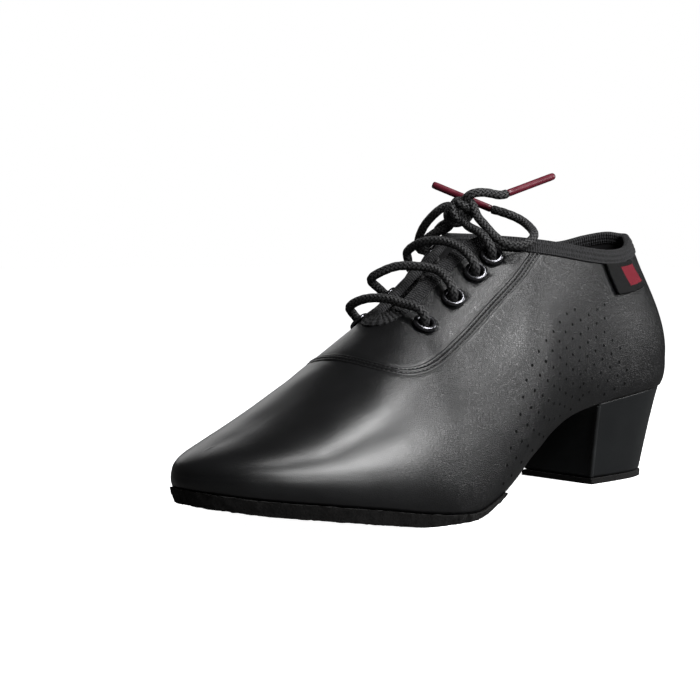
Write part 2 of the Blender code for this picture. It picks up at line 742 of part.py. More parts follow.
def make_rise(name, side, material):
    """The lace from the top eyelet up to the knot."""
    below = Vector((0.1 * KNOT_SIZE[0], side * 0.4 * KNOT_SIZE[1], -0.54 * KNOT_SIZE[2]))
    end = hung(KNOT_POINT) + below
    points = lace_mouth(EYELETS[-1], side, end)
    middle = points[-1].lerp(end, 0.5) + Vector((0.0, side * 0.6 * MM, 0.6 * MM))
    return make_tube(name, points + [middle, end], LACE_DIAMETER, material, spacing=1.2)


def make_aglet(name, route, tip, material):
    """The hard tip on a lace end."""
    start = hung(route[-1])
    direction = (hung(tip) - start).normalized()
    middle = start + direction * (2 * GAP + 0.5 * AGLET_LENGTH)
    turn = direction.to_track_quat("Z", "X").to_matrix().to_4x4()
    mesh_data = bmesh.new()
    bmesh.ops.create_cone(mesh_data, cap_ends=True, segments=10, radius1=0.5 * AGLET_DIAMETER,
                          radius2=0.5 * AGLET_DIAMETER, depth=AGLET_LENGTH,
                          matrix=Matrix.Translation(middle) @ turn)
    return finish_mesh(name, mesh_data, material)


def make_side_tag(material):
    """A folded woven tag that hangs from the collar on the outer side."""
    mesh_data = bmesh.new()
    faces = []
    for out in (GAP + TAG_THICKNESS, GAP):
        lines = []
        for tag_row in rows_between(*TAG_ROWS, step=0.25):
            line = []
            for share in (0.0, 0.25, 0.5, 0.75, 1.0):
                row = tag_row - share * TAG_SLANT
                level = level_below_edge(row, 1, TAG_DROP + share * TAG_HEIGHT)
                line.append(skin(row, level, 1) + skin_normal(row, level, 1) * out)
            lines.append(add_points(mesh_data, line))
        faces.append(lines)
    for lines in faces:
        for first, second in zip(lines, lines[1:]):
            add_strip(mesh_data, first, second)
    outer, inner = faces
    for end in (0, -1):
        add_strip(mesh_data, outer[end], inner[end])
        add_strip(mesh_data, [line[end] for line in outer], [line[end] for line in inner])
    return finish_mesh("side_tag", mesh_data, material)


def object_box(items):
    """Lowest and highest corner of some objects' evaluated meshes."""
    graph = bpy.context.evaluated_depsgraph_get()
    corners = []
    for item in items:
        solid = item.evaluated_get(graph)
        corners += [solid.matrix_world @ vert.co for vert in solid.to_mesh().vertices]
    low = Vector([min(corner[axis] for corner in corners) for axis in range(3)])
    high = Vector([max(corner[axis] for corner in corners) for axis in range(3)])
    return low, high


def main():
    for item in list(bpy.data.objects):
        bpy.data.objects.remove(item)

    leather = new_material("black leather", (0.022, 0.023, 0.025), 0.42)
    suede = new_material("sole suede", (0.018, 0.016, 0.015), 0.95)
    heel_cover = new_material("heel cover", (0.020, 0.021, 0.023), 0.38)
    lining_cloth = new_material("insole cloth", (0.012, 0.012, 0.013), 0.85)
    nickel = new_material("dark nickel", (0.32, 0.32, 0.34), 0.22, 1.0)
    lace = new_material("lace cord", (0.012, 0.012, 0.013), 0.80)
    aglet = new_material("aglet red", (0.18, 0.012, 0.03), 0.35)
    woven = new_material("tag weave", (0.015, 0.015, 0.016), 0.80)

    body = []
    upper = make_upper(leather)
    cutter = make_eyelet_holes(upper)
    body.append(upper)
    insole_rows = rows_between(0, ROW_TOE)
    body.append(slab("insole", insole_rows, lining_cloth, -(WALL + GAP), insole_bottom, insole_top))
    sole_rows = rows_between(ROW_SOLE_TAIL, ROW_TOE)
    body.append(slab("outsole", sole_rows, suede, SOLE_EDGE, sole_bottom, sole_top, SOLE_CHAMFER))
    body.append(make_heel(heel_cover))
    body.append(make_heel_lift(suede))
    body.append(make_side_tag(woven))
    for number, place in enumerate(EYELETS, 1):
        for label, side in (("outer", 1), ("inner", -1)):
            ring = new_object(f"eyelet_{label}_{number}", make_eyelet_mesh(), nickel)
            ring.matrix_world = eyelet_frame(place, side)
            body.append(ring)
    for number, (place, form) in enumerate(zip(EYELETS, BAR_FORMS), 1):
        body.append(make_lace_bar(number, place, form, lace))

    cords = [make_knot(lace), make_rise("lace_rise_outer", 1, lace),
             make_rise("lace_rise_inner", -1, lace)]
    for name, route in (("lace_loop", LOOP_ROUTE), ("lace_end_a", END_A_ROUTE),
                        ("lace_end_b", END_B_ROUTE)):
        cords.append(make_tube(name, [hung(point) for point in route], LACE_DIAMETER, lace))
    cords.append(make_aglet("aglet_a", END_A_ROUTE, AGLET_A_TIP, aglet))
    cords.append(make_aglet("aglet_b", END_B_ROUTE, AGLET_B_TIP, aglet))

    low, high = object_box(body)
    shoe = bpy.data.objects.new("shoe", None)
    bpy.context.scene.collection.objects.link(shoe)
    for item in body + cords + [cutter]:
        item.parent = shoe
    shoe.location = (-0.5 * (low.x + high.x), -0.5 * (low.y + high.y), -low.z)


main()
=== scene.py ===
# Left ballroom practice shoe: soft black leather, bound opening, tied lace, Cuban heel.
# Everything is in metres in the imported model's frame: +X to the toe, +Y the outer side.
import math

import bmesh
import bpy
from mathutils import Matrix, Vector, noise
from mathutils.bvhtree import BVHTree
from mathutils.kdtree import KDTree


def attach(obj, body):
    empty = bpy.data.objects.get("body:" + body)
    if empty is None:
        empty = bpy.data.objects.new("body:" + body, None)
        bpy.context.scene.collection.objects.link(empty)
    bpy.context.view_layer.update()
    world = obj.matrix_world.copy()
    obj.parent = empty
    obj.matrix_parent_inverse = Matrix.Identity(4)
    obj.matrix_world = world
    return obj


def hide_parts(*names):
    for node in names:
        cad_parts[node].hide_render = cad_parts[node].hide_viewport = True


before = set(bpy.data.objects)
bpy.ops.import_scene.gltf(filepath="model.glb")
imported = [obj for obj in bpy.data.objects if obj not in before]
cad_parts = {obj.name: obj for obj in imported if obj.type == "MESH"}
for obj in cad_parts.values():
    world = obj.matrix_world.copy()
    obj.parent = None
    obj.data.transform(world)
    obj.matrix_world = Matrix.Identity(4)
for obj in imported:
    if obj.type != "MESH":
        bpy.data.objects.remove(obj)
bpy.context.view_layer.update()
mm = 0.001
print("frame loaded")

# Camera at the photograph's angle, and the room
view = {
    "place": (0.41795, 0.40848, 0.0928),
    "target": (0.04595, -0.00382, 0.05724),
    "lens": 80.7,
}
room = {
    "floorColour": (0.90, 0.905, 0.91), "floorShade": (0.10, 0.10, 0.10), "floorGlow": 1.0,
    "skyColour": (1.0, 1.0, 1.0), "skyStrength": 1.0, "fillStrength": 0.055,
    "lamps": (
        # name, place, size, power, what it looks at
        ("overhead", (-0.07, 0.33, 0.82), (0.24, 0.14), 3.4, (0.01, 0.01, 0.08)),
        ("keyBox", (-0.02, 0.64, 0.48), (0.56, 0.16), 6.2, (0.03, 0.03, 0.04)),
        ("farBox", (-0.36, -0.80, 0.34), (0.60, 0.36), 0.65, (0.05, 0.0, 0.04)),
        ("tailBox", (-0.74, 0.50, 0.38), (0.34, 0.30), 2.1, (-0.04, 0.03, 0.05)),
    ),
}

scene = bpy.context.scene
scene.view_settings.view_transform = "Standard"
cameraData = bpy.data.cameras.new("shoeCamera")
cameraData.lens = view["lens"]
cameraData.sensor_width = 36.0
camera = bpy.data.objects.new("shoeCamera", cameraData)
camera.location = view["place"]
aim = Vector(view["target"]) - Vector(view["place"])
camera.rotation_euler = aim.to_track_quat("-Z", "Y").to_euler()
scene.collection.objects.link(camera)
scene.camera = camera

for lampName, lampPlace, lampSize, lampPower, lampTarget in room["lamps"]:
    lampData = bpy.data.lights.new(lampName, "AREA")
    lampData.shape = "RECTANGLE"
    lampData.size, lampData.size_y = lampSize
    lampData.energy = lampPower
    lamp = bpy.data.objects.new(lampName, lampData)
    lamp.location = lampPlace
    lampAim = Vector(lampTarget) - Vector(lampPlace)
    lamp.rotation_euler = lampAim.to_track_quat("-Z", "Y").to_euler()
    lamp.visible_camera = False
    scene.collection.objects.link(lamp)

# The backdrop is seen white, and gives only a low fill
world = bpy.data.worlds.new("studio")
world.use_nodes = True
studioNodes, studioLinks = world.node_tree.nodes, world.node_tree.links
seenSky, fillSky = studioNodes["Background"], studioNodes.new("ShaderNodeBackground")
for sky, strength in ((seenSky, room["skyStrength"]), (fillSky, room["fillStrength"])):
    sky.inputs["Color"].default_value = (*room["skyColour"], 1.0)
    sky.inputs["Strength"].default_value = strength
skyChoice, skyRay = studioNodes.new("ShaderNodeMixShader"), studioNodes.new("ShaderNodeLightPath")
studioLinks.new(skyRay.outputs["Is Camera Ray"], skyChoice.inputs["Fac"])
studioLinks.new(fillSky.outputs["Background"], skyChoice.inputs[1])
studioLinks.new(seenSky.outputs["Background"], skyChoice.inputs[2])
studioLinks.new(skyChoice.outputs["Shader"], studioNodes["World Output"].inputs["Surface"])
scene.world = world
print("camera and studio made")

# Sizes of the shoe's last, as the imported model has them
last = {
    "length": 0.243, "ballWidth": 0.0855, "heelHeight": 0.0378, "collarHeight": 0.0607,
    "instepHeight": 0.0645, "toeSpring": 0.0102, "wall": 0.0018, "gap": 0.0003,
    "soleThickness": 0.005, "throatRow": 14, "toeRow": 21, "waistRows": (4.5, 11.0),
    "soleTail": 10.65,
    "heelToMiddle": (-0.1200458, -0.0038184, 0.0),
}
feather = {
    "along": (0.0177, 0.023, 0.0477, 0.1029, 0.179, 0.2551, 0.3292, 0.3868, 0.43, 0.465, 0.5021,
        0.5514, 0.6049, 0.6358, 0.6626, 0.7119, 0.7716, 0.8354, 0.8992, 0.9465, 0.9765, 0.9889),
    "lateral": (0, 0.12, 0.23, 0.302, 0.323, 0.327, 0.351, 0.388, 0.421, 0.443, 0.463, 0.5, 0.534,
        0.546, 0.545, 0.524, 0.477, 0.412, 0.316, 0.218, 0.115, 0),
    "medial": (0, 0.12, 0.227, 0.292, 0.309, 0.306, 0.313, 0.327, 0.349, 0.368, 0.386, 0.409, 0.43,
        0.44, 0.449, 0.458, 0.451, 0.398, 0.304, 0.196, 0.098, 0),
    "heel": (1, 1, 0.995, 0.974, 0.925, 0.868, 0.793, 0.68, 0.552, 0.432, 0.25, 0.09, 0, 0, 0, 0, 0, 0,
        0, 0, 0, 0),
    "spring": (0, 0, 0, 0, 0, 0, 0, 0, 0, 0, 0, 0, 0, 0, 0, 0.03, 0.22, 0.43, 0.63, 0.8, 0.93, 1),
    "sole": (0, 0, 0, 0, 0, 0, 0, 0, 0, 0.05, 0.25, 0.46, 0.52, 0.58, 0.68, 0.92, 1, 1, 1, 1, 1, 1),
    "roll": (0, 0, 0, 0, 0, 0, 1.3, 2, 2, 1.6, 0.3, 0, 0, 0, 0, 0, 0, 0, 0, 0, 0, 0),
}
topLine = {
    "along": (0.0535, 0.0671, 0.0947, 0.1399, 0.1975, 0.2593, 0.3251, 0.3786, 0.4198, 0.4444, 0.4815,
        0.5432, 0.5988, 0.6206, 0.6288, 0.6667, 0.7202, 0.7819, 0.8416, 0.8889, 0.9218, 0.9383),
    "half": (0, 0.065, 0.135, 0.205, 0.251, 0.278, 0.285, 0.264, 0.193, 0.103, 0.055, 0.047, 0.043,
        0.034, 0, 0, 0, 0, 0, 0, 0, 0),
    "collar": (1.008, 0.995, 0.954, 0.926, 0.94, 0.99, 1.066, 0.6, 0, 0, 0, 0, 0, 0, 0, 0, 0, 0, 0, 0,
        0, 0),
    "instep": (0, 0, 0, 0, 0, 0, 0, 0.527, 1.183, 1.251, 1.276, 1.194, 1.087, 1.04, 1.008, 0.882,
        0.719, 0.536, 0.382, 0.28, 0.216, 0.188),
    "medialRise": (0, 0.025, 0.046, 0.041, 0.066, 0.079, 0.063, 0.043, 0.025, 0.013, 0, 0, 0, 0, 0, 0,
        0, 0, 0, 0, 0, 0),
}
ribs = {
    "baseLean": (59, 60, 64, 74, 78, 76, 70, 66, 65, 66, 70, 76, 81, 82, 82, 82, 81, 79, 76, 72, 69,
        68),
    "basePull": (0.38, 0.38, 0.37, 0.32, 0.31, 0.31, 0.31, 0.31, 0.31, 0.31, 0.31, 0.31, 0.31, 0.31,
        0.31, 0.32, 0.33, 0.36, 0.41, 0.47, 0.53, 0.56),
    "topLean": (62, 64, 69, 78, 83, 82, 78, 67, 46, 27, 19, 17, 17, 12, 4, 0, 0, 0, 0, 0, 0, 0),
    "topPull": (0.38, 0.38, 0.38, 0.34, 0.33, 0.33, 0.32, 0.31, 0.3, 0.29, 0.29, 0.3, 0.31, 0.32, 0.33,
        0.34, 0.37, 0.41, 0.45, 0.48, 0.5, 0.5),
}
heelToMiddle = Vector(last["heelToMiddle"])
knownRibs = {}


# A smooth curve's value between b and c, a share t of the way
def splineValue(a, b, c, d, t):
    return 0.5 * (2 * b + (c - a) * t + (2 * a - 5 * b + 4 * c - d) * t ** 2
                  + (3 * b - a - 3 * c + d) * t ** 3)


def clamped(value):
    return min(max(value, 0.0), 1.0)


def fromHeel(point):
    return heelToMiddle + Vector(point) * mm


# A column of the last at any row, smooth through the rows and mirrored past its ends
def smoothValue(values, row, odd=False):
    final = len(values) - 1
    sign = -1.0 if odd else 1.0

    def entry(number):
        if number < 0:
            return sign * values[-number]
        if number > final:
            return sign * values[2 * final - number]
        return values[number]

    base = min(int(math.floor(row)), final - 1)
    return splineValue(*(entry(base + step) for step in (-1, 0, 1, 2)), row - base)


# The rim and the ridge meet at a corner at the throat's end, so each is smooth by itself
def topValue(name, row, odd=False):
    turn = last["throatRow"]
    if row <= turn:
        return smoothValue(topLine[name][:turn + 1], row, odd)
    ridge = topLine[name][turn:]
    t = row - turn
    if t >= 1.0:
        return smoothValue(ridge, t)
    return splineValue(2 * ridge[0] - ridge[1], ridge[0], ridge[1], ridge[2], t)


def soleLift(row):
    return max(0.0, smoothValue(feather["spring"], row)) * last["toeSpring"]


def soleDepth(row):
    return max(0.0, smoothValue(feather["sole"], row)) * last["soleThickness"]


def featherHeight(row):
    heel = max(0.0, smoothValue(feather["heel"], row)) * last["heelHeight"]
    return heel + soleLift(row) + soleDepth(row) + last["gap"]


def featherEdge(row, side):
    if row < 0 or row > last["toeRow"]:
        return featherEdge(abs(row) if row < 0 else 2 * last["toeRow"] - row, -side)
    half = smoothValue(feather["lateral" if side > 0 else "medial"], row, odd=True)
    along = smoothValue(feather["along"], row) * last["length"]
    return heelToMiddle + Vector((along, side * half * last["ballWidth"], featherHeight(row)))


def featherNormal(row, side):
    run = featherEdge(row + 0.05, side) - featherEdge(row - 0.05, side)
    return Vector((run.y * -side, run.x * side, 0.0)).normalized()


def topEdge(row, side):
    half = topValue("half", row, odd=True) if row < last["throatRow"] else 0.0
    rise = topValue("collar", row) * last["collarHeight"]
    rise += topValue("instep", row) * last["instepHeight"]
    if side < 0:
        rise += topValue("medialRise", row) * last["collarHeight"]
    along = topValue("along", row) * last["length"]
    return heelToMiddle + Vector((along, side * half * last["ballWidth"], featherHeight(row) + rise))


def ridgeDirection(row):
    place = min(max(row, last["throatRow"] + 0.1), last["toeRow"] - 1.0)
    run = (topEdge(place + 0.1, 1) - topEdge(place - 0.1, 1)).normalized()
    share = clamped((row - last["throatRow"] + 3.0) / 3.0)
    return Vector((1.0, 0.0, share * run.z / run.x)).normalized()


# The four control points of the rib at a row, from the feather edge to the top edge
def ribAt(row, side):
    key = (round(row, 5), side)
    if key not in knownRibs:
        base, top = featherEdge(row, side), topEdge(row, side)
        outward = featherNormal(row, side)
        span = (top - base).length
        lean = math.radians(smoothValue(ribs["baseLean"], row))
        pull = smoothValue(ribs["basePull"], row) * span
        low = base + pull * (outward * math.cos(lean) + Vector((0.0, 0.0, math.sin(lean))))
        lean = math.radians(smoothValue(ribs["topLean"], row))
        pull = smoothValue(ribs["topPull"], row) * span
        across = ridgeDirection(row) * outward.x + Vector((0.0, outward.y, 0.0))
        high = top + pull * (across * math.cos(lean) - Vector((0.0, 0.0, math.sin(lean))))
        knownRibs[key] = (base, low, high, top)
    return knownRibs[key]


def skin(row, level, side):
    if row < 0 or row > last["toeRow"]:
        return skin(abs(row) if row < 0 else 2 * last["toeRow"] - row, level, -side)
    base, low, high, top = ribAt(row, side)
    rest = 1.0 - level
    return (base * rest ** 3 + low * 3 * rest ** 2 * level
            + high * 3 * rest * level ** 2 + top * level ** 3)


def skinNormal(row, level, side):
    level = min(max(level, 0.02), 0.97)
    along = skin(row + 0.02, level, side) - skin(row - 0.02, level, side)
    up = skin(row, level + 0.02, side) - skin(row, level - 0.02, side)
    return along.cross(up).normalized() * -side


def levelBelowEdge(row, side, distance):
    walked = 0.0
    before = skin(row, 1.0, side)
    for number in range(1, 200):
        level = 1.0 - number / 200
        point = skin(row, level, side)
        walked += (point - before).length
        if walked >= distance:
            return level
        before = point
    return 0.0


def waistPoint(row, share):
    roll = max(0.0, smoothValue(feather["roll"], row)) * last["wall"]
    lean = math.radians(smoothValue(ribs["baseLean"], row))
    ends = []
    for side in (1, -1):
        point = featherEdge(row, side)
        inward = featherNormal(row, side) * -math.cos(lean)
        ends.append((point, point + roll * (inward - Vector((0.0, 0.0, math.sin(lean))))))
    rest = 1.0 - share
    return (ends[0][0] * rest ** 3 + ends[0][1] * 3 * rest ** 2 * share
            + ends[1][1] * 3 * rest * share ** 2 + ends[1][0] * share ** 3)


def smoothRoute(points, count):
    final = len(points) - 1
    route = []
    for number in range(count + 1):
        place = final * number / count
        base = min(int(place), final - 1)
        route.append(splineValue(points[max(base - 1, 0)], points[base], points[base + 1],
                                 points[min(base + 2, final)], place - base))
    return route


def routeLength(points):
    return sum((b - a).length for a, b in zip(points, points[1:]))


# The same route with points a fixed distance apart
def evenRoute(points, spacing, closed=False):
    if closed:
        points = points + points[:1]
    total = routeLength(points)
    count = max(2, round(total / spacing))
    result, walked, place = [], 0.0, 0
    for number in range(count if closed else count + 1):
        wanted = total * number / count
        while place < len(points) - 2 and walked + (points[place + 1] - points[place]).length < wanted:
            walked += (points[place + 1] - points[place]).length
            place += 1
        run = points[place + 1] - points[place]
        share = (wanted - walked) / run.length if run.length > 0 else 0.0
        result.append(points[place] + run * clamped(share))
    return result


# A grid of a form laid out by a rule: place(u, v) for u along and v across, both 0 to 1
def laidGrid(form, along, across, place, size=(1.0, 1.0)):
    weave = form.loops.layers.uv.verify()
    made = bmesh.ops.create_grid(form, x_segments=along, y_segments=across, size=0.5)
    spots = {vert: (vert.co.x + 0.5, vert.co.y + 0.5) for vert in made["verts"]}
    for face in {face for vert in spots for face in vert.link_faces}:
        for loop in face.loops:
            u, v = spots[loop.vert]
            loop[weave].uv = (u * size[0], v * size[1])
    for vert, (u, v) in spots.items():
        vert.co = place(u, v)
    return spots


def faceOut(form):
    bmesh.ops.recalc_face_normals(form, faces=form.faces)


def closeForm(form, distance=0.01 * mm):
    bmesh.ops.remove_doubles(form, verts=form.verts, dist=distance)
    faceOut(form)


def finishPiece(name, form, materials, sharpAngle=50.0):
    mesh = bpy.data.meshes.new(name)
    form.to_mesh(mesh)
    form.free()
    mesh.shade_smooth()
    mesh.set_sharp_from_angle(angle=math.radians(sharpAngle))
    for material in materials:
        mesh.materials.append(material)
    piece = bpy.data.objects.new(name, mesh)
    scene.collection.objects.link(piece)
    return piece


def settle(piece, slot, *nodes):
    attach(piece, "root")
    if nodes:
        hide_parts(*nodes)
    return piece


def roundEdges(piece, name, width, segments, angle):
    rounding = piece.modifiers.new(name, "BEVEL")
    rounding.width = width * mm
    rounding.segments = segments
    rounding.limit_method = "ANGLE"
    rounding.angle_limit = math.radians(angle)


# Shader building
def newGroup(name, inputs, outputs):
    group = bpy.data.node_groups.new(name, "ShaderNodeTree")
    for title, kind, value in inputs:
        socket = group.interface.new_socket(title, in_out="INPUT", socket_type=kind)
        if value is not None:
            socket.default_value = value
    for title, kind in outputs:
        group.interface.new_socket(title, in_out="OUTPUT", socket_type=kind)
    start = group.nodes.new("NodeGroupInput")
    end = group.nodes.new("NodeGroupOutput")
    return group, start, end


def mathNode(tree, operation, first, second=None, third=None):
    node = tree.nodes.new("ShaderNodeMath")
    node.operation = operation
    for place, value in enumerate((first, second, third)):
        if value is None:
            continue
        if isinstance(value, (int, float)):
            node.inputs[place].default_value = value
        else:
            tree.links.new(value, node.inputs[place])
    return node.outputs[0]


# The height of a row of round threads, one for each whole step of the value
def threadNode(tree, value):
    return mathNode(tree, "ABSOLUTE", mathNode(tree, "SINE", mathNode(tree, "MULTIPLY", value, math.pi)))


def noiseNode(tree, vector, scale, detail=2.0, roughness=0.5):
    node = tree.nodes.new("ShaderNodeTexNoise")
    tree.links.new(vector, node.inputs["Vector"])
    if isinstance(scale, (int, float)):
        node.inputs["Scale"].default_value = scale
    else:
        tree.links.new(scale, node.inputs["Scale"])
    node.inputs["Detail"].default_value = detail
    node.inputs["Roughness"].default_value = roughness
    return node.outputs["Fac"]


def rangeNode(tree, value, low, high, toLow, toHigh):
    node = tree.nodes.new("ShaderNodeMapRange")
    node.inputs["From Min"].default_value = low
    node.inputs["From Max"].default_value = high
    node.inputs["To Min"].default_value = toLow
    node.inputs["To Max"].default_value = toHigh
    tree.links.new(value, node.inputs["Value"])
    return node.outputs["Result"]


def mixColour(tree, share, first, second):
    node = tree.nodes.new("ShaderNodeMix")
    node.data_type = "RGBA"
    tree.links.new(share, node.inputs["Factor"])
    node.inputs["A"].default_value = (*first, 1.0)
    node.inputs["B"].default_value = (*second, 1.0)
    return node.outputs["Result"]


# Pebbled grain of full leather: shallow cells with fine creases between them
def makeLeatherGrain():
    tree, start, end = newGroup(
        "leatherGrain",
        [("Vector", "NodeSocketVector", None), ("Scale", "NodeSocketFloat", 1500.0)],
        [("Height", "NodeSocketFloat"), ("Wear", "NodeSocketFloat")],
    )
    stretched = tree.nodes.new("ShaderNodeVectorMath")
    stretched.operation = "SCALE"
    tree.links.new(start.outputs["Vector"], stretched.inputs[0])
    tree.links.new(start.outputs["Scale"], stretched.inputs["Scale"])
    cells = tree.nodes.new("ShaderNodeTexVoronoi")
    cells.feature = "DISTANCE_TO_EDGE"
    cells.inputs["Scale"].default_value = 1.0
    cells.inputs["Randomness"].default_value = 0.9
    tree.links.new(stretched.outputs["Vector"], cells.inputs["Vector"])
    crown = rangeNode(tree, cells.outputs["Distance"], 0.0, 0.28, 0.0, 1.0)
    fine = noiseNode(tree, stretched.outputs["Vector"], 2.3, 3.0)
    broad = noiseNode(tree, start.outputs["Vector"], 60.0, 2.0)
    height = mathNode(tree, "MULTIPLY_ADD", fine, 0.45, crown)
    height = mathNode(tree, "MULTIPLY_ADD", broad, 0.6, height)
    tree.links.new(height, end.inputs["Height"])
    wear = mathNode(tree, "MULTIPLY_ADD", fine, 0.25, broad)
    tree.links.new(wear, end.inputs["Wear"])
    return tree


# Round braid on UV metres: crossing yarns that dip under each other; the Shade output is high on the yarn
# crowns, for a painted highlight on them and painted shade in the dips
def makeBraid():
    tree, start, end = newGroup(
        "laceBraid",
        [("Vector", "NodeSocketVector", None), ("Pitch", "NodeSocketFloat", 0.0016)],
        [("Height", "NodeSocketFloat"), ("Shade", "NodeSocketFloat")],
    )
    parts = tree.nodes.new("ShaderNodeSeparateXYZ")
    tree.links.new(start.outputs["Vector"], parts.inputs["Vector"])
    along = mathNode(tree, "DIVIDE", parts.outputs["X"], start.outputs["Pitch"])
    across = mathNode(tree, "DIVIDE", parts.outputs["Y"], start.outputs["Pitch"])
    left = mathNode(tree, "ADD", along, across)
    right = mathNode(tree, "SUBTRACT", along, across)
    firstYarn, secondYarn = threadNode(tree, left), threadNode(tree, right)
    turn = mathNode(tree, "ADD", mathNode(tree, "FLOOR", left), mathNode(tree, "FLOOR", right))
    over = mathNode(tree, "PINGPONG", turn, 1.0)
    first = mathNode(tree, "MULTIPLY", firstYarn, over)
    second = mathNode(tree, "MULTIPLY", secondYarn, mathNode(tree, "SUBTRACT", 1.0, over))
    yarn = mathNode(tree, "ADD", first, second)
    fibre = noiseNode(tree, start.outputs["Vector"], 5200.0, 2.0)
    height = mathNode(tree, "MULTIPLY_ADD", fibre, 0.35, yarn)
    tree.links.new(height, end.inputs["Height"])
    tree.links.new(mathNode(tree, "MULTIPLY", yarn, fibre), end.inputs["Shade"])
    return tree


# Ribbed tape on UV metres: cross ribs with a little fibre; the Shade output is high on the rib crowns, for
# a painted highlight on them and painted shade between the ribs
def makeRibWeave():
    tree, start, end = newGroup(
        "ribWeave",
        [("Vector", "NodeSocketVector", None), ("Rib", "NodeSocketFloat", 0.0007)],
        [("Height", "NodeSocketFloat"), ("Shade", "NodeSocketFloat")],
    )
    parts = tree.nodes.new("ShaderNodeSeparateXYZ")
    tree.links.new(start.outputs["Vector"], parts.inputs["Vector"])
    wobble = noiseNode(tree, start.outputs["Vector"], 900.0, 2.0)
    along = mathNode(tree, "DIVIDE", parts.outputs["X"], start.outputs["Rib"])
    along = mathNode(tree, "MULTIPLY_ADD", wobble, 0.8, along)
    rib = threadNode(tree, along)
    thread = mathNode(tree, "DIVIDE", parts.outputs["Y"], start.outputs["Rib"])
    thread = mathNode(tree, "SINE", mathNode(tree, "MULTIPLY", thread, 4.0 * math.pi))
    height = mathNode(tree, "MULTIPLY_ADD", thread, 0.25, rib)
    fibre = noiseNode(tree, start.outputs["Vector"], 3500.0, 2.0)
    height = mathNode(tree, "MULTIPLY_ADD", fibre, 0.3, height)
    tree.links.new(height, end.inputs["Height"])
    tree.links.new(mathNode(tree, "MULTIPLY", rib, fibre), end.inputs["Shade"])
    return tree


leatherGrain = makeLeatherGrain()
laceBraid = makeBraid()
ribWeave = makeRibWeave()


# A Principled material with its plain values set on the shader itself
def newFinish(name, colour, values):
    material = bpy.data.materials.new(name)
    material.use_nodes = True
    shader = material.node_tree.nodes["Principled BSDF"]
    shader.inputs["Base Color"].default_value = (*colour, 1.0)
    for title, value in values.items():
        shader.inputs[title].default_value = value
    return material, material.node_tree, shader


def bumpInto(tree, shader, height, distance):
    bump = tree.nodes.new("ShaderNodeBump")
    bump.inputs["Strength"].default_value = 1.0
    bump.inputs["Distance"].default_value = distance
    tree.links.new(height, bump.inputs["Height"])
    tree.links.new(bump.outputs["Normal"], shader.inputs["Normal"])


def leatherFinish(name, look):
    material, tree, shader = newFinish(name, look["colour"], look["values"])
    coords = tree.nodes.new("ShaderNodeTexCoord")
    grain = tree.nodes.new("ShaderNodeGroup")
    grain.node_tree = leatherGrain
    grain.inputs["Scale"].default_value = look["grain"]
    tree.links.new(coords.outputs["Object"], grain.inputs["Vector"])
    tone = mixColour(tree, rangeNode(tree, grain.outputs["Wear"], 0.35, 0.95, 0.0, 1.0),
                     look["colour"], look["light"])
    tree.links.new(tone, shader.inputs["Base Color"])
    low, high = look["roughness"]
    tree.links.new(rangeNode(tree, grain.outputs["Wear"], 0.35, 0.95, low, high),
                   shader.inputs["Roughness"])
    height = grain.outputs["Height"]
    if "stretched" in look:  # the grain is pulled flatter over the front of the last
        parts = tree.nodes.new("ShaderNodeSeparateXYZ")
        tree.links.new(coords.outputs["Object"], parts.inputs["Vector"])
        start, end, flat = look["stretched"]
        height = mathNode(tree, "MULTIPLY", height,
                          rangeNode(tree, parts.outputs["X"], start, end, 1.0, flat))
    bumpInto(tree, shader, height, look["depth"])
    return material


def clothFinish(name, group, look):
    material, tree, shader = newFinish(name, look["colour"], look["values"])
    coords = tree.nodes.new("ShaderNodeTexCoord")
    weave = tree.nodes.new("ShaderNodeGroup")
    weave.node_tree = group
    weave.inputs[1].default_value = look["pitch"]
    tree.links.new(coords.outputs["UV"], weave.inputs["Vector"])
    # Painted highlight and shade: the crowns of the yarns and ribs take the lighter colour, the dips
    # between them the darker
    tone = mixColour(tree, rangeNode(tree, weave.outputs["Shade"], 0.22, 0.50, 0.0, 1.0),
                     look["colour"], look["light"])
    tree.links.new(tone, shader.inputs["Base Color"])
    bumpInto(tree, shader, weave.outputs["Height"], look["depth"])
    return material


# Brushed nap or moulded surface: two scales of noise on object coordinates
def napFinish(name, look):
    material, tree, shader = newFinish(name, look["colour"], look["values"])
    coords = tree.nodes.new("ShaderNodeTexCoord")
    fine = noiseNode(tree, coords.outputs["Object"], look["grain"], 4.0, 0.65)
    broad = noiseNode(tree, coords.outputs["Object"], look["patch"], 3.0)
    shade = mathNode(tree, "MULTIPLY_ADD", fine, 0.6, mathNode(tree, "MULTIPLY", broad, 0.5))
    tone = mixColour(tree, rangeNode(tree, shade, 0.35, 0.8, 0.0, 1.0), look["colour"], look["light"])
    tree.links.new(tone, shader.inputs["Base Color"])
    low, high = look["roughness"]
    tree.links.new(rangeNode(tree, broad, 0.3, 0.7, low, high), shader.inputs["Roughness"])
    bumpInto(tree, shader, fine, look["depth"])
    return material


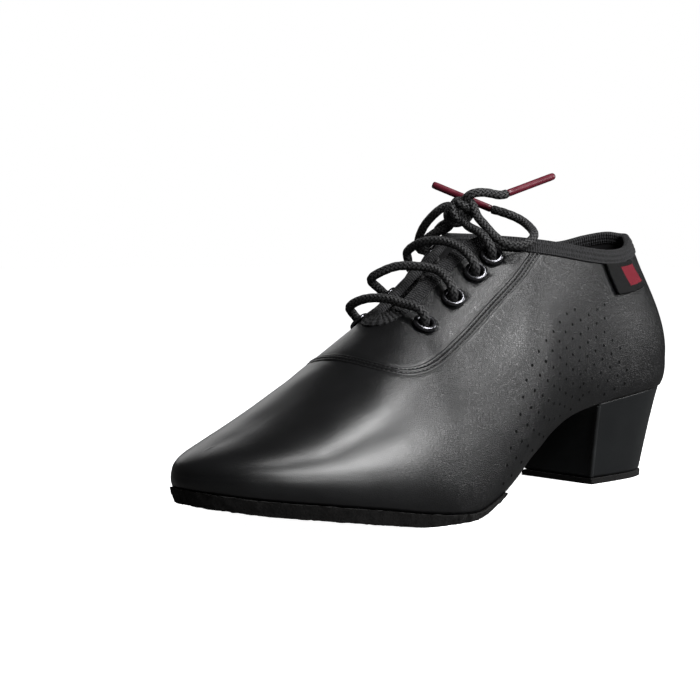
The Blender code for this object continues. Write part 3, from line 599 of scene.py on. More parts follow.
upperLeather = leatherFinish("upperLeather", {
    "colour": (0.0030, 0.0031, 0.0034), "light": (0.0060, 0.0062, 0.0068), "grain": 1700.0,
    "roughness": (0.29, 0.35), "depth": 0.00006, "stretched": (0.025, 0.06, 0.22),
    "values": {"IOR": 1.5, "Specular IOR Level": 0.5, "Coat Weight": 0.15, "Coat Roughness": 0.3},
})
liningCloth = napFinish("liningCloth", {
    "colour": (0.006, 0.006, 0.0065), "light": (0.014, 0.014, 0.015), "grain": 2200.0, "patch": 90.0,
    "roughness": (0.7, 0.85), "depth": 0.0001, "values": {"Specular IOR Level": 0.25},
})
insoleCloth = napFinish("insoleCloth", {
    "colour": (0.010, 0.010, 0.011), "light": (0.022, 0.022, 0.024), "grain": 1600.0, "patch": 60.0,
    "roughness": (0.75, 0.9), "depth": 0.00015, "values": {"Specular IOR Level": 0.25},
})
soleSuede = napFinish("soleSuede", {
    "colour": (0.0035, 0.0034, 0.0034), "light": (0.012, 0.0112, 0.011), "grain": 1300.0, "patch": 120.0,
    "roughness": (0.85, 0.97), "depth": 0.0004,
    "values": {"Specular IOR Level": 0.2, "Sheen Weight": 0.04, "Sheen Roughness": 0.5},
})
heelLeather = leatherFinish("heelLeather", {
    "colour": (0.0075, 0.0088, 0.0098), "light": (0.0125, 0.0140, 0.0150), "grain": 2600.0,
    "roughness": (0.34, 0.42), "depth": 0.000008,
    "values": {"IOR": 1.5, "Specular IOR Level": 0.45, "Coat Weight": 0.1, "Coat Roughness": 0.25},
})
# Painted highlight: a lighter leather for the bead on the heel's front corners, standing for the light
# caught along them
coverEdgeHighlight = leatherFinish("coverEdgeHighlight", {
    "colour": (0.012, 0.013, 0.014), "light": (0.045, 0.048, 0.050), "grain": 1600.0,
    "roughness": (0.34, 0.46), "depth": 0.00002, "values": {"IOR": 1.5, "Specular IOR Level": 0.5},
})
bindingTape = clothFinish("bindingTape", ribWeave, {
    "colour": (0.0020, 0.0020, 0.0022), "light": (0.045, 0.045, 0.048), "pitch": 0.0010, "depth": 0.0003,
    "values": {"Roughness": 0.62, "Specular IOR Level": 0.3, "Sheen Weight": 0.03, "Sheen Roughness": 0.4},
})
laceCord = clothFinish("laceCord", laceBraid, {
    "colour": (0.0022, 0.0022, 0.0024), "light": (0.065, 0.065, 0.067), "pitch": 0.00178, "depth": 0.00034,
    "values": {"Roughness": 0.55, "Specular IOR Level": 0.35, "Sheen Weight": 0.03, "Sheen Roughness": 0.4},
})
tagWeave = clothFinish("tagWeave", ribWeave, {
    "colour": (0.0025, 0.0025, 0.0028), "light": (0.010, 0.010, 0.0105), "pitch": 0.0005, "depth": 0.00012,
    "values": {"Roughness": 0.6, "Specular IOR Level": 0.2},
})
tagField = clothFinish("tagField", ribWeave, {
    "colour": (0.12, 0.006, 0.014), "light": (0.27, 0.022, 0.038), "pitch": 0.0005, "depth": 0.00012,
    "values": {"Roughness": 0.6, "Specular IOR Level": 0.2},
})
threadBlack = napFinish("threadBlack", {
    "colour": (0.0015, 0.0015, 0.0016), "light": (0.006, 0.006, 0.0065), "grain": 4200.0, "patch": 500.0,
    "roughness": (0.75, 0.9), "depth": 0.00005, "values": {"Specular IOR Level": 0.12},
})
# Painted shade: a near-black matte finish for the perforation cups, darker than the lining, standing for
# the shade inside each hole
paintedHoleShade = napFinish("paintedHoleShade", {
    "colour": (0.0012, 0.0012, 0.0013), "light": (0.004, 0.004, 0.0042), "grain": 4000.0, "patch": 300.0,
    "roughness": (0.85, 0.95), "depth": 0.00003, "values": {"Specular IOR Level": 0.1},
})
darkNickel = napFinish("darkNickel", {
    "colour": (0.10, 0.10, 0.11), "light": (0.17, 0.17, 0.18), "grain": 900.0, "patch": 250.0,
    "roughness": (0.16, 0.30), "depth": 0.000004, "values": {"Metallic": 1.0},
})
agletFilm = napFinish("agletFilm", {
    "colour": (0.085, 0.005, 0.014), "light": (0.15, 0.010, 0.026), "grain": 700.0, "patch": 180.0,
    "roughness": (0.30, 0.42), "depth": 0.000002,
    "values": {"IOR": 1.48, "Specular IOR Level": 0.5, "Coat Weight": 0.15, "Coat Roughness": 0.2},
})
print("finishes made")

# Lace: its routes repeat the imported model's, in the same frame
lacing = {
    "diameter": 0.0034,
    "eyelets": ((12.15, 0.0143), (11.05, 0.0145), (10.25, 0.0132), (9.4, 0.0113)),
    "eyeletSeat": 0.00045, "eyeletHeight": 0.0011, "flange": 0.0086, "bore": 0.0049,
    "barrel": 0.00045,
    "bars": (
        ((0.20, 3.4, 7.2), (0.40, 4.6, 9.0), (0.65, 6.0, 9.4), (0.86, 6.6, 8.0), (1.00, 6.2, 5.8)),
        ((0.20, 1.2, 10.1), (0.42, 3.8, 11.6), (0.65, 7.0, 11.8), (0.84, 9.6, 9.6), (0.99, 10.2, 6.9)),
        ((0.21, 2.0, 9.8), (0.44, 3.6, 12.0), (0.70, 5.0, 11.6), (0.88, 4.8, 9.8), (1.01, 4.2, 7.4)),
    ),
    "knot": (109.7, 0.0, 107.3), "knotSize": (0.012, 0.0125, 0.011),
    "loop": (
        (108.4, -7.8, 109.6), (109.6, -9.6, 108.9), (110.5, -12.0, 107.2), (110.2, -16.0, 104.7),
        (110.0, -19.0, 102.3), (109.1, -22.0, 99.6), (107.5, -25.0, 96.5), (104.8, -27.8, 93.6),
        (101.0, -29.3, 92.2), (98.0, -28.2, 93.4), (98.6, -24.8, 96.6), (102.4, -20.2, 99.6),
        (105.2, -15.0, 101.9), (105.2, -11.6, 103.2), (105.4, -8.8, 104.2),
    ),
    "endA": (
        (110.7, 4.6, 113.0), (109.9, 6.2, 113.8), (107.4, 7.8, 114.2), (103.5, 9.2, 113.9),
        (100.4, 11.2, 113.0), (97.5, 11.8, 113.7),
    ),
    "endB": (
        (109.8, 8.2, 105.2), (109.6, 10.5, 103.3), (109.2, 13.0, 100.8), (108.7, 15.5, 98.3),
        (108.0, 17.8, 96.4), (107.1, 20.2, 95.0), (105.2, 22.3, 94.3), (102.9, 24.0, 94.3),
        (100.2, 25.2, 95.3), (97.4, 25.3, 97.0), (95.1, 23.8, 98.6), (92.9, 20.5, 100.4),
        (91.6, 15.5, 103.2), (92.3, 12.0, 105.0), (93.7, 9.3, 106.2), (94.7, 6.0, 107.3),
        (95.3, 3.0, 108.0),
    ),
    "tipA": (71.8, 14.0, 121.4), "tipB": (107.2, -17.5, 117.8),
    "agletLength": 0.025, "agletDiameter": 0.0028,
    "sides": 20, "spacing": 0.00055, "braid": 0.10,
}


def hung(point):
    corner = topEdge(last["throatRow"] - 5, 1) - heelToMiddle
    offset = Vector((corner.x - 108.0 * mm, 0.0, corner.z - 97.6 * mm))
    return heelToMiddle + offset + Vector(point) * mm


# Where an eyelet sits, on the highest leather under its flange, Z pointing out
def eyeletFrame(place, side):
    row, setback = place
    level = levelBelowEdge(row, side, setback)
    centre, normal = skin(row, level, side), skinNormal(row, level, side)
    crown = 0.0
    steps = (-1.0, -0.66, -0.33, 0.0, 0.33, 0.66, 1.0)
    for rowStep in steps:
        for levelStep in steps:
            way = skin(row + 0.5 * rowStep, level + 0.1 * levelStep, side) - centre
            height = way.dot(normal)
            if (way - normal * height).length < 0.55 * lacing["flange"]:
                crown = max(crown, height)
    turn = normal.to_track_quat("Z", "X").to_matrix().to_4x4()
    return Matrix.Translation(centre + normal * crown) @ turn


eyeletFrames = {(number, side): eyeletFrame(place, side)
                for number, place in enumerate(lacing["eyelets"]) for side in (1, -1)}


def laceMouth(number, side, target):
    spot = eyeletFrames[number, side]
    centre, out = spot.translation, spot.to_3x3() @ Vector((0.0, 0.0, 1.0))
    way = target - centre
    way -= out * way.dot(out)
    way.normalize()
    radius = 0.5 * lacing["diameter"]
    over = lacing["eyeletSeat"] + lacing["eyeletHeight"] + radius
    return [centre - out * (last["wall"] + last["gap"]), centre + out * 0.5 * over,
            centre + out * (over + 0.1 * radius) + way * 0.35 * radius,
            centre + out * (over + 0.9 * radius) + way * 0.5 * lacing["flange"]]


# A round tube round a route, with its own UV in metres; braid is the yarns' share of the radius
def addTube(form, route, diameter, sides, braid=0.0):
    length = routeLength(route)
    count = len(route) - 1
    tangents = []
    for number in range(count + 1):
        run = route[min(number + 1, count)] - route[max(number - 1, 0)]
        tangents.append(run.normalized())
    guide = Vector((0.0, 0.0, 1.0))
    if abs(tangents[0].dot(guide)) > 0.9:
        guide = Vector((1.0, 0.0, 0.0))
    normals = []
    for tangent in tangents:
        guide = (guide - tangent * guide.dot(tangent)).normalized()
        normals.append(guide)

    def place(u, v):
        number = round(u * count)
        turn = 2 * math.pi * v
        radius = 0.5 * diameter
        if braid:
            left = length * u / (1.05 * diameter) + v * 6
            right = length * u / (1.05 * diameter) - v * 6
            yarn = max(abs(math.sin(math.pi * left)), abs(math.sin(math.pi * right)))
            radius *= 1.0 - braid + braid * yarn
        side = tangents[number].cross(normals[number])
        return route[number] + (normals[number] * math.cos(turn) + side * math.sin(turn)) * radius

    spots = laidGrid(form, count, sides, place, (length, math.pi * diameter))
    bmesh.ops.remove_doubles(form, verts=[vert for vert in spots if vert.is_valid], dist=0.002 * mm)


def capEnds(form):
    edges = [edge for edge in form.edges if edge.is_boundary]
    bmesh.ops.holes_fill(form, edges=edges, sides=0)


def laceRoute(points, passes=16):
    route = evenRoute(smoothRoute(points, 40 * (len(points) - 1)), lacing["spacing"])
    for _ in range(passes):
        route = ([route[0]] + [(a + 2 * b + c) / 4 for a, b, c in zip(route, route[1:], route[2:])]
                 + [route[-1]])
    return evenRoute(route, lacing["spacing"])


def makeLace(name, routes, slotNodes):
    form = bmesh.new()
    for route in routes:
        addTube(form, route, lacing["diameter"], lacing["sides"], lacing["braid"])
    capEnds(form)
    faceOut(form)
    return settle(finishPiece(name, form, [laceCord], 80.0), "lace cord", *slotNodes)


for number, shape in enumerate(lacing["bars"]):
    start, end = (eyeletFrames[number, side].translation for side in (1, -1))
    span = [start.lerp(end, share) + Vector((ahead, 0.0, up)) * mm for share, ahead, up in shape]
    points = laceMouth(number, 1, span[0]) + span + laceMouth(number, -1, span[-1])[::-1]
    makeLace(f"laceBar{number + 1}", [laceRoute(points)], [f"lace_bar_{number + 1}"])

# Behind the facings the lace runs up from one crossing to the next, under the lining
hiddenRuns = (
    # side, first eyelet, last eyelet, shift along the shoe
    (1, 0, 1, 0.0), (-1, 1, 3, -1.9), (-1, 0, 2, 1.9), (1, 2, 3, 0.0),
)
runRoutes = []
for side, first, final, shift in hiddenRuns:
    points = []
    for share in (0.0, 0.06, 0.2, 0.4, 0.6, 0.8, 0.94, 1.0):
        place = first + (final - first) * share
        low = min(int(place), 2)
        part = place - low
        (rowA, backA), (rowB, backB) = lacing["eyelets"][low], lacing["eyelets"][low + 1]
        row, back = rowA + (rowB - rowA) * part, backA + (backB - backA) * part
        level = levelBelowEdge(row, side, back)
        depth = last["wall"] + (0.6 * mm if share in (0.0, 1.0) else 3.0 * mm)
        point = skin(row, level, side) - skinNormal(row, level, side) * depth
        bow = math.sin(math.pi * share)
        points.append(point + Vector((0.0, shift * bow * mm, shift * 0.3 * bow * mm)))
    runRoutes.append(laceRoute(points))
makeLace("laceRuns", runRoutes, [])


def riseRoute(side):
    size = lacing["knotSize"]
    end = hung(lacing["knot"]) + Vector((0.1 * size[0], side * 0.4 * size[1], -0.54 * size[2]))
    points = laceMouth(3, side, end)
    middle = points[-1].lerp(end, 0.5) + Vector((0.0, side * 0.6 * mm, 0.6 * mm))
    return points + [middle, end]


def agletPlace(route, tip):
    start = hung(route[-1])
    direction = (hung(tip) - start).normalized()
    return start + direction * 2 * last["gap"], direction


# A hard tip: a film tube pressed round the lace, with a small crimp and rounded ends
def makeAglet(name, route, tip, node):
    start, direction = agletPlace(route, tip)
    profile = ((0.0, 0.0), (0.0, 0.80), (0.02, 0.98), (0.06, 1.0), (0.30, 0.985), (0.60, 1.0),
               (0.94, 1.0), (0.985, 0.94), (1.0, 0.80), (1.0, 0.46), (0.985, 0.40), (0.985, 0.0))
    turn = direction.to_track_quat("Z", "X").to_matrix()
    form = bmesh.new()

    def place(u, v):
        step, share = profile[round(u * (len(profile) - 1))]
        angle = 2 * math.pi * v
        radius = 0.5 * lacing["agletDiameter"] * share
        flat = 0.93 if 0.1 < step < 0.9 else 1.0
        spot = Vector((radius * math.cos(angle), radius * flat * math.sin(angle),
                       step * lacing["agletLength"]))
        return start + turn @ spot

    laidGrid(form, len(profile) - 1, 28, place, (lacing["agletLength"], 0.009))
    closeForm(form, 0.003 * mm)
    for face in form.faces:  # the lace shows dark at the open end
        if (face.calc_center_median() - start).dot(direction) > 0.965 * lacing["agletLength"]:
            face.material_index = 1
    return settle(finishPiece(name, form, [agletFilm, threadBlack], 40.0), "aglet red", node)


agletA = makeAglet("agletA", lacing["endA"], lacing["tipA"], "aglet_a")
agletB = makeAglet("agletB", lacing["endB"], lacing["tipB"], "aglet_b")

# The knot: the lace's own turns round its crossing, each a closed ring of lace
knotTurns = {
    "rings": (
        # middle from the knot's point, axis, half sizes across the axis
        ((0.2, 0.4, 0.2), (0.15, 1.0, 0.25), 3.7, 3.9),
        ((0.9, -1.0, -1.2), (1.0, 0.35, 0.35), 3.5, 4.1),
        ((-0.6, 1.4, 1.5), (-0.45, 0.35, 1.0), 3.9, 3.2),
        ((0.0, 0.0, 0.0), (0.8, -0.9, 0.5), 2.2, 2.6),
    ),
}
knotRoutes = []
for middle, axis, first, second in knotTurns["rings"]:
    turn = Vector(axis).normalized().to_track_quat("Z", "X").to_matrix()
    centre = hung(lacing["knot"]) + Vector(middle) * mm
    ring = [centre + turn @ Vector((first * mm * math.cos(math.radians(6 * step)),
                                    second * mm * math.sin(math.radians(6 * step)), 0.0))
            for step in range(61)]
    knotRoutes.append(evenRoute(ring, 0.6 * mm))
laceKnot = makeLace("laceKnot", knotRoutes, ["lace_knot"])

knotMiddle = hung(lacing["knot"])
longTurn = [knotMiddle + Vector(spot) * mm for spot in (
    (0.9, 1.6, -3.2), (0.5, -0.8, 0.0), (0.0, 0.2, 3.4), (-0.3, 3.6, 3.9), (-0.1, 6.6, 1.4))]
longPoints = riseRoute(1) + longTurn + [hung(spot) for spot in lacing["endB"]]
longRoute = laceRoute(longPoints)
laceLong = makeLace("laceEndLong", [longRoute], ["lace_rise_outer", "lace_end_b"])
bowPoints = (riseRoute(-1) + [knotMiddle + Vector((-0.5, -4.0, 0.5)) * mm]
             + [hung(p) for p in lacing["loop"]]
             + [knotMiddle + Vector((-1.0, -3.0, 0.0)) * mm, knotMiddle + Vector((1.0, 2.0, 3.4)) * mm]
             + [hung(p) for p in lacing["endA"]])
bowRoute = laceRoute(bowPoints)
laceBow = makeLace("laceBow", [bowRoute], ["lace_rise_inner", "lace_loop", "lace_end_a"])
routeLength(longRoute)
routeLength(bowRoute)
print("lace made", round(routeLength(longRoute), 4), round(routeLength(bowRoute), 4))

# Upper: one fine skin laid over the last, with its folds and seams pressed in
upperLook = {
    "rowSteps": 8, "levels": 64, "waistShares": 22, "smoothPasses": 60,
    "seam": (
        (90.2, 23.4, 95.2), (92.8, 23.8, 92.8), (105.3, 25.3, 82.7), (118.8, 25.4, 72.9),
        (135.6, 26.4, 61.6), (151.8, 27.9, 53.2), (160.5, 26.6, 51.2), (166.5, 22.6, 51.9),
        (170.4, 15.7, 53.4), (172.4, 7.6, 54.9), (173.0, 0.0, 55.6),
    ),
    "seamGroove": 0.5, "seamReach": 2.3,
    # soft folds: two ends in millimetres from the heel, half width, depth (minus is a ridge)
    "folds": (
        ((163.0, 12.0, 59.0), (158.0, 24.0, 54.0), 6.0, 0.35),
        ((178.0, 6.0, 53.0), (182.0, 24.0, 45.0), 7.0, 0.35),
        ((176.0, -6.0, 53.0), (182.0, -24.0, 45.0), 7.0, 0.35),
    ),
    "unevenness": 0.16,
}


def mirrored(points):
    return points + [(x, -y, z) for x, y, z in reversed(points[:-1])]


upperForm = bmesh.new()
rowLayer = upperForm.verts.layers.float.new("row")
levelLayer = upperForm.verts.layers.float.new("level")
rowCount = last["toeRow"] * upperLook["rowSteps"]


def ringPlace(u):
    number = round(u * 2 * rowCount)
    if number <= rowCount:
        return number / upperLook["rowSteps"], 1
    return (2 * rowCount - number) / upperLook["rowSteps"], -1


def upperPlace(u, v):
    row, side = ringPlace(u)
    return skin(row, v, side)


for vert, (u, v) in laidGrid(upperForm, 2 * rowCount, upperLook["levels"], upperPlace,
                             (0.5, 0.1)).items():
    vert[rowLayer], vert[levelLayer] = ringPlace(u)[0], v
waistFirst, waistLast = last["waistRows"]
waistSteps = round((waistLast - waistFirst) * upperLook["rowSteps"])
for vert, (u, v) in laidGrid(
        upperForm, waistSteps, upperLook["waistShares"],
        lambda u, v: waistPoint(waistFirst + u * (waistLast - waistFirst),
                                0.5 - 0.5 * math.cos(math.pi * v)), (0.5, 0.1)).items():
    vert[rowLayer], vert[levelLayer] = waistFirst + u * (waistLast - waistFirst), -1.0
closeForm(upperForm, 0.02 * mm)
upperForm.normal_update()
outerSpot = Vector((0.0, 0.045, 0.05))
probe = min(upperForm.faces, key=lambda face: (face.calc_center_median() - outerSpot).length)
if probe.normal.y < 0:
    bmesh.ops.reverse_faces(upperForm, faces=upperForm.faces)
    upperForm.normal_update()
# The ribs' small ripples are drawn out of the leather, less and less towards its edges
passes = upperLook["smoothPasses"]
for number in range(passes):
    margin = 0.04 + 0.14 * number / passes
    loose = [vert for vert in upperForm.verts if margin < vert[levelLayer] < 1.0 - margin]
    bmesh.ops.smooth_vert(upperForm, verts=loose, factor=0.5, use_axis_x=True, use_axis_y=True,
                          use_axis_z=True)
upperForm.normal_update()
smoothSkin = BVHTree.FromBMesh(upperForm)


def onSkin(point):
    spot, normal, _, _ = smoothSkin.find_nearest(point)
    return spot, normal


seamRaw = smoothRoute([fromHeel(point) for point in mirrored(list(upperLook["seam"]))], 600)
seamRoute = evenRoute([onSkin(point)[0] for point in seamRaw], 0.4 * mm)
seamTree = KDTree(len(seamRoute))
for number, point in enumerate(seamRoute):
    seamTree.insert(point, number)
seamTree.balance()
foldLines = [(fromHeel(a), fromHeel(b), width * mm, depth * mm)
             for a, b, width, depth in upperLook["folds"]]


def relief(point, row=8.0, level=0.5, seam=False):
    sink = 0.0
    distance = seamTree.find(point)[2]
    reach = upperLook["seamReach"] * mm
    if seam and distance < reach and level >= 0.0:
        sink += upperLook["seamGroove"] * mm * (0.5 + 0.5 * math.cos(math.pi * distance / reach))
    for start, end, width, depth in foldLines:
        run = end - start
        share = clamped((point - start).dot(run) / run.length_squared)
        away = (point - start - run * share).length / width
        sink += depth * math.exp(-away * away)
    if level >= 0.0:
        calm = min(1.0, level * 6.0, (1.0 - level) * 14.0 if row < last["throatRow"] else 1.0)
        wave = noise.noise(point * 48.0) + 0.45 * noise.noise(point * 120.0)
        sink += upperLook["unevenness"] * mm * wave * calm
        lastingPull = max(0.0, 1.0 - level / 0.12) * (1.0 if row > 11 else 0.35)
        sink += 0.12 * mm * noise.noise(point * 420.0) * lastingPull
    return -sink


for vert in upperForm.verts:
    vert.co += vert.normal * relief(vert.co, vert[rowLayer], vert[levelLayer], seam=True)

# Eyelet holes: faces inside the hole go, and the ring left is drawn to a circle
for spot in eyeletFrames.values():
    inverse = spot.inverted()
    hole = 0.5 * lacing["bore"] + lacing["barrel"] + 0.35 * mm
    inside = [vert for vert in upperForm.verts
              if (local := inverse @ vert.co).xy.length < hole and abs(local.z) < 4 * mm]
    bmesh.ops.delete(upperForm, geom=inside, context="VERTS")
    for vert in upperForm.verts:
        local = inverse @ vert.co
        if vert.is_boundary and local.xy.length < hole + 2.4 * mm and abs(local.z) < 4 * mm:
            local.xy = local.xy.normalized() * hole
            vert.co = spot @ local
upperForm.normal_update()
upper = finishPiece("upper", upperForm, [upperLeather, liningCloth], 70.0)
wall = upper.modifiers.new("leather wall", "SOLIDIFY")
wall.thickness = last["wall"]
wall.offset = -1.0
wall.material_offset = 1
wall.material_offset_rim = 1
upper.name = "upperShell"
settle(upper, "black leather", "upper")
print("upper made", len(upper.data.polygons))

# Seam round the facings: a thin raised edge between two sunk rows of stitches
seamLook = {
    "profile": ((2.0, -0.22), (1.7, 0.10), (1.4, 0.20), (1.12, 0.12), (0.80, -0.02), (0.52, 0.04),
                (0.34, 0.22), (0.17, 0.33), (0.0, 0.36)),
    "stitchPitch": 1.6, "stitchLength": 1.12, "stitchWidth": 0.66, "stitchDepth": 0.42, "stitchAway": 0.80,
    "pinch": 0.05,
}


def seamFrames(route):
    frames = []
    for number, point in enumerate(route):
        tangent = (route[min(number + 1, len(route) - 1)] - route[max(number - 1, 0)]).normalized()
        normal = onSkin(point)[1]
        normal = (normal - tangent * normal.dot(tangent)).normalized()
        frames.append([point, tangent, normal])
    for _ in range(6):
        smooth = [frames[max(n - 1, 0)][2] + frames[n][2] + frames[min(n + 1, len(frames) - 1)][2]
                  for n in range(len(frames))]
        for spot, normal in zip(frames, smooth):
            spot[2] = (normal - spot[1] * normal.dot(spot[1])).normalized()
    for spot in frames:
        spot[0] = spot[0] + spot[2] * relief(spot[0])
    return frames


facingFrames = seamFrames(seamRoute)


def makeWelt(name, frames, look):
    form = bmesh.new()
    half = look["profile"]
    profile = list(half) + [(-away, height) for away, height in reversed(half[:-1])]
    length = routeLength([spot[0] for spot in frames])

    def place(u, v):
        point, tangent, normal = frames[round(u * (len(frames) - 1))]
        away, height = profile[round(v * (len(profile) - 1))]
        across = tangent.cross(normal)
        if 0.4 < abs(away) < 1.2:
            height += look["pinch"] * math.cos(2 * math.pi * u * length / (look["stitchPitch"] * mm)) ** 3
        return point + across * away * mm + normal * height * mm

    laidGrid(form, len(frames) - 1, len(profile) - 1, place, (length, 0.0035))
    faceOut(form)
    form.faces.ensure_lookup_table()
    middle = form.faces[len(form.faces) // 2]
    if middle.normal.dot(onSkin(middle.calc_center_median())[1]) < 0:
        bmesh.ops.reverse_faces(form, faces=form.faces)
    piece = finishPiece(name, form, [upperLeather], 80.0)
    return settle(piece, "black leather")


def makeStitches(name, frames, look):
    form = bmesh.new()
    length = routeLength([spot[0] for spot in frames])
    count = int(length / (look["stitchPitch"] * mm))
    for row in (1, -1):
        for number in range(count):
            index = round((number + 0.5) * look["stitchPitch"] * mm / length * (len(frames) - 1))
            if index >= len(frames):
                continue
            point, tangent, normal = frames[index]
            across = tangent.cross(normal)
            centre = point + across * row * look["stitchAway"] * mm - normal * 0.03 * mm
            axes = Matrix((tangent, across, normal)).transposed().to_4x4()
            size = Matrix.Diagonal((look["stitchLength"] * mm, look["stitchWidth"] * mm,
                                    look["stitchDepth"] * mm, 1.0))
            bmesh.ops.create_uvsphere(form, u_segments=6, v_segments=6, radius=0.5,
                                      matrix=Matrix.Translation(centre) @ axes @ size
                                      @ Matrix.Rotation(math.radians(90), 4, "Y"))
    return settle(finishPiece(name, form, [threadBlack], 80.0), "black leather")


makeWelt("facingWelt", facingFrames, seamLook)
makeStitches("facingStitches", facingFrames, seamLook)
print("seam made")

# Binding: a ribbed tape folded over the whole opening
bindingLook = {
    "spacing": 0.7, "outer": 5.5, "throatOuter": 6.0, "inner": 4.2, "thick": 0.62, "ribs": 3,
    "ribHeight": 0.2, "pucker": 0.16, "overEdge": 0.45,
    "throatMiddle": (140.0, 0.0, 78.0), "profileSteps": 15,
}
rimRows = [number * 0.02 for number in range(int(last["throatRow"] / 0.02) + 1)]
rimSpots = [(row, 1) for row in rimRows] + [(row, -1) for row in reversed(rimRows[1:-1])]
rimPoints = [topEdge(row, side) for row, side in rimSpots]
rimRoute = evenRoute(rimPoints, bindingLook["spacing"] * mm, closed=True)
rimTree = KDTree(len(rimPoints))
for number, point in enumerate(rimPoints):
    rimTree.insert(point, number)
rimTree.balance()
rimFrames = []
throatMiddle = fromHeel(bindingLook["throatMiddle"])
for number, point in enumerate(rimRoute):
    row, side = rimSpots[rimTree.find(point)[1]]
    tangent = (rimRoute[(number + 1) % len(rimRoute)] - rimRoute[number - 1]).normalized()
    normal = skinNormal(row, 0.97, side)
    if row > 12.5:
        calm = (row - 12.5) / 1.5
        normal = Vector((normal.x, normal.y * (1.0 - calm), normal.z))
    normal = (normal - tangent * normal.dot(tangent)).normalized()
    away = tangent.cross(normal).normalized()
    if row < 12.0 and away.dot(skin(row, 0.93, side) - skin(row, 1.0, side)) < 0:
        away = -away
    if row >= 12.0 and away.dot(point - throatMiddle) < 0:
        away = -away
    rimFrames.append([point, tangent, normal, away, row])
for _ in range(4):
    count = len(rimFrames)
    for part in (2, 3):
        smooth = [rimFrames[n - 1][part] + rimFrames[n][part] * 2 + rimFrames[(n + 1) % count][part]
                  for n in range(count)]
        for spot, value in zip(rimFrames, smooth):
            spot[part] = value.normalized()


def bindingProfile(row):
    share = clamped((row - 7.0) / 2.0)
    outer = bindingLook["outer"] + share * (bindingLook["throatOuter"] - bindingLook["outer"])
    thick = bindingLook["thick"]
    steps = bindingLook["profileSteps"]
    points = [("out", outer, -0.1), ("out", outer, 0.55 * thick)]
    for number in range(steps + 1):
        down = outer - 0.25 - (outer - 0.25) * number / steps
        swell = bindingLook["ribHeight"] * math.cos(2 * math.pi * bindingLook["ribs"] * down / outer)
        shoulder = 0.45 * max(0.0, 1.0 - down / 1.4) ** 2
        points.append(("out", down, (thick + swell) * (1.0 - shoulder)))
    for number in range(1, 8):
        points.append(("fold", math.pi * number / 8, 0.0))
    for down in (0.0, 1.4, 2.8, bindingLook["inner"] - 0.3):
        points.append(("in", down, thick * 0.8))
    points += [("in", bindingLook["inner"], 0.4 * thick), ("in", bindingLook["inner"], -0.1)]
    return points


profileCount = len(bindingProfile(0.0)) - 1
bindingForm = bmesh.new()
rimCount = len(rimRoute)
rimLength = routeLength(rimRoute + rimRoute[:1])


def bindingPlace(u, v):
    number = round(u * rimCount) % rimCount
    point, tangent, normal, away, row = rimFrames[number]
    kind, first, height = bindingProfile(row)[round(v * profileCount)]
    ripple = noise.noise(Vector((u * rimLength / (2.2 * mm), 0.0, 4.0)))
    near = clamped((row - 11.0) / 3.0)
    ripple *= bindingLook["pucker"] * (0.45 + 1.2 * near)
    if kind == "fold":
        half = 0.5 * last["wall"] + bindingLook["thick"] * mm * 0.66
        centre = point - normal * 0.5 * last["wall"]
        over = bindingLook["overEdge"] + ripple
        return centre + normal * half * math.cos(first) - away * over * mm * math.sin(first)
    base = point + away * first * mm
    if first > 0.8:
        spot, spotNormal = onSkin(base)
        blend = min(1.0, (first - 0.8) / 1.5)
        base = base.lerp(spot, blend)
        normal = normal.lerp(spotNormal, blend * 0.8).normalized()
    if kind == "out":
        return base + normal * (height + ripple * (1.0 if height > 0 else 0.0)) * mm
    return base - normal * (last["wall"] + (height + 0.5 * ripple) * mm)


laidGrid(bindingForm, rimCount, profileCount, bindingPlace, (rimLength, 0.014))
closeForm(bindingForm, 0.004 * mm)
binding = finishPiece("openingBinding", bindingForm, [bindingTape], 75.0)
settle(binding, "lace cord")
print("binding made")

# Eyelets: a rolled flange turned round the hole, with its barrel through the wall
def makeEyelet(name, spot, node):
    bore = 0.5 * lacing["bore"]
    wide = 0.5 * lacing["flange"]
    barrel = bore + lacing["barrel"]
    seat, crown = lacing["eyeletSeat"], lacing["eyeletSeat"] + lacing["eyeletHeight"]
    depth = last["wall"] + 3 * last["gap"]
    profile = [(barrel + 0.25 * mm, -depth), (barrel, -depth + 0.35 * mm), (barrel, seat - 0.5 * mm),
               (barrel + 0.2 * mm, seat - 0.35 * mm), (wide - 0.25 * mm, seat - 0.4 * mm),
               (wide, seat - 0.1 * mm), (wide, seat + 0.25 * mm)]
    for step in range(1, 11):
        turn = math.pi * step / 11
        profile.append((0.5 * (wide + bore) + 0.5 * (wide - bore) * math.cos(turn),
                        seat + 0.2 * mm + (crown - seat - 0.2 * mm) * math.sin(turn)))
    profile += [(bore, seat), (bore, -depth + 0.3 * mm), (bore + 0.15 * mm, -depth - 0.05 * mm)]
    form = bmesh.new()
    count = len(profile)

    def place(u, v):
        radius, height = profile[round(u * count) % count]
        turn = 2 * math.pi * v
        return spot @ Vector((radius * math.cos(turn), radius * math.sin(turn), height))

    laidGrid(form, count, 40, place, (0.006, 0.027))
    closeForm(form, 0.003 * mm)
    return settle(finishPiece(name, form, [darkNickel], 50.0), "dark nickel", node)


for (number, side), spot in eyeletFrames.items():
    label = "outer" if side > 0 else "inner"
    makeEyelet(f"eyelet{label.capitalize()}{number + 1}", spot, f"eyelet_{label}_{number + 1}")
print("eyelets made")

# Perforations of the quarters: pressed cups in staggered rows, the same on both sides; each cup is a
# near-black disc on the leather, painted shade standing in for the hole
perforation = {
    "front": (
        (78.7, 70.2), (85.3, 68.7), (91.3, 65.7), (96.7, 62.6), (102.6, 59.4), (107.3, 56.2),
        (111.3, 52.1), (115.0, 47.8), (117.8, 43.0), (120.2, 37.8), (122.6, 32.2), (125.5, 27.4),
        (128.5, 22.6), (130.8, 16.9), (132.7, 11.0),
    ),
    "rearLimit": ((56.0, 69.0), (53.0, 62.0), (48.0, 54.0), (43.5, 48.5), (41.0, 44.5), (42.5, 37.0)),
    "rowGap": 4.7, "pitch": 6.5, "rows": 12, "radius": 0.42, "rim": 0.20, "aboveSole": 2.6,
}


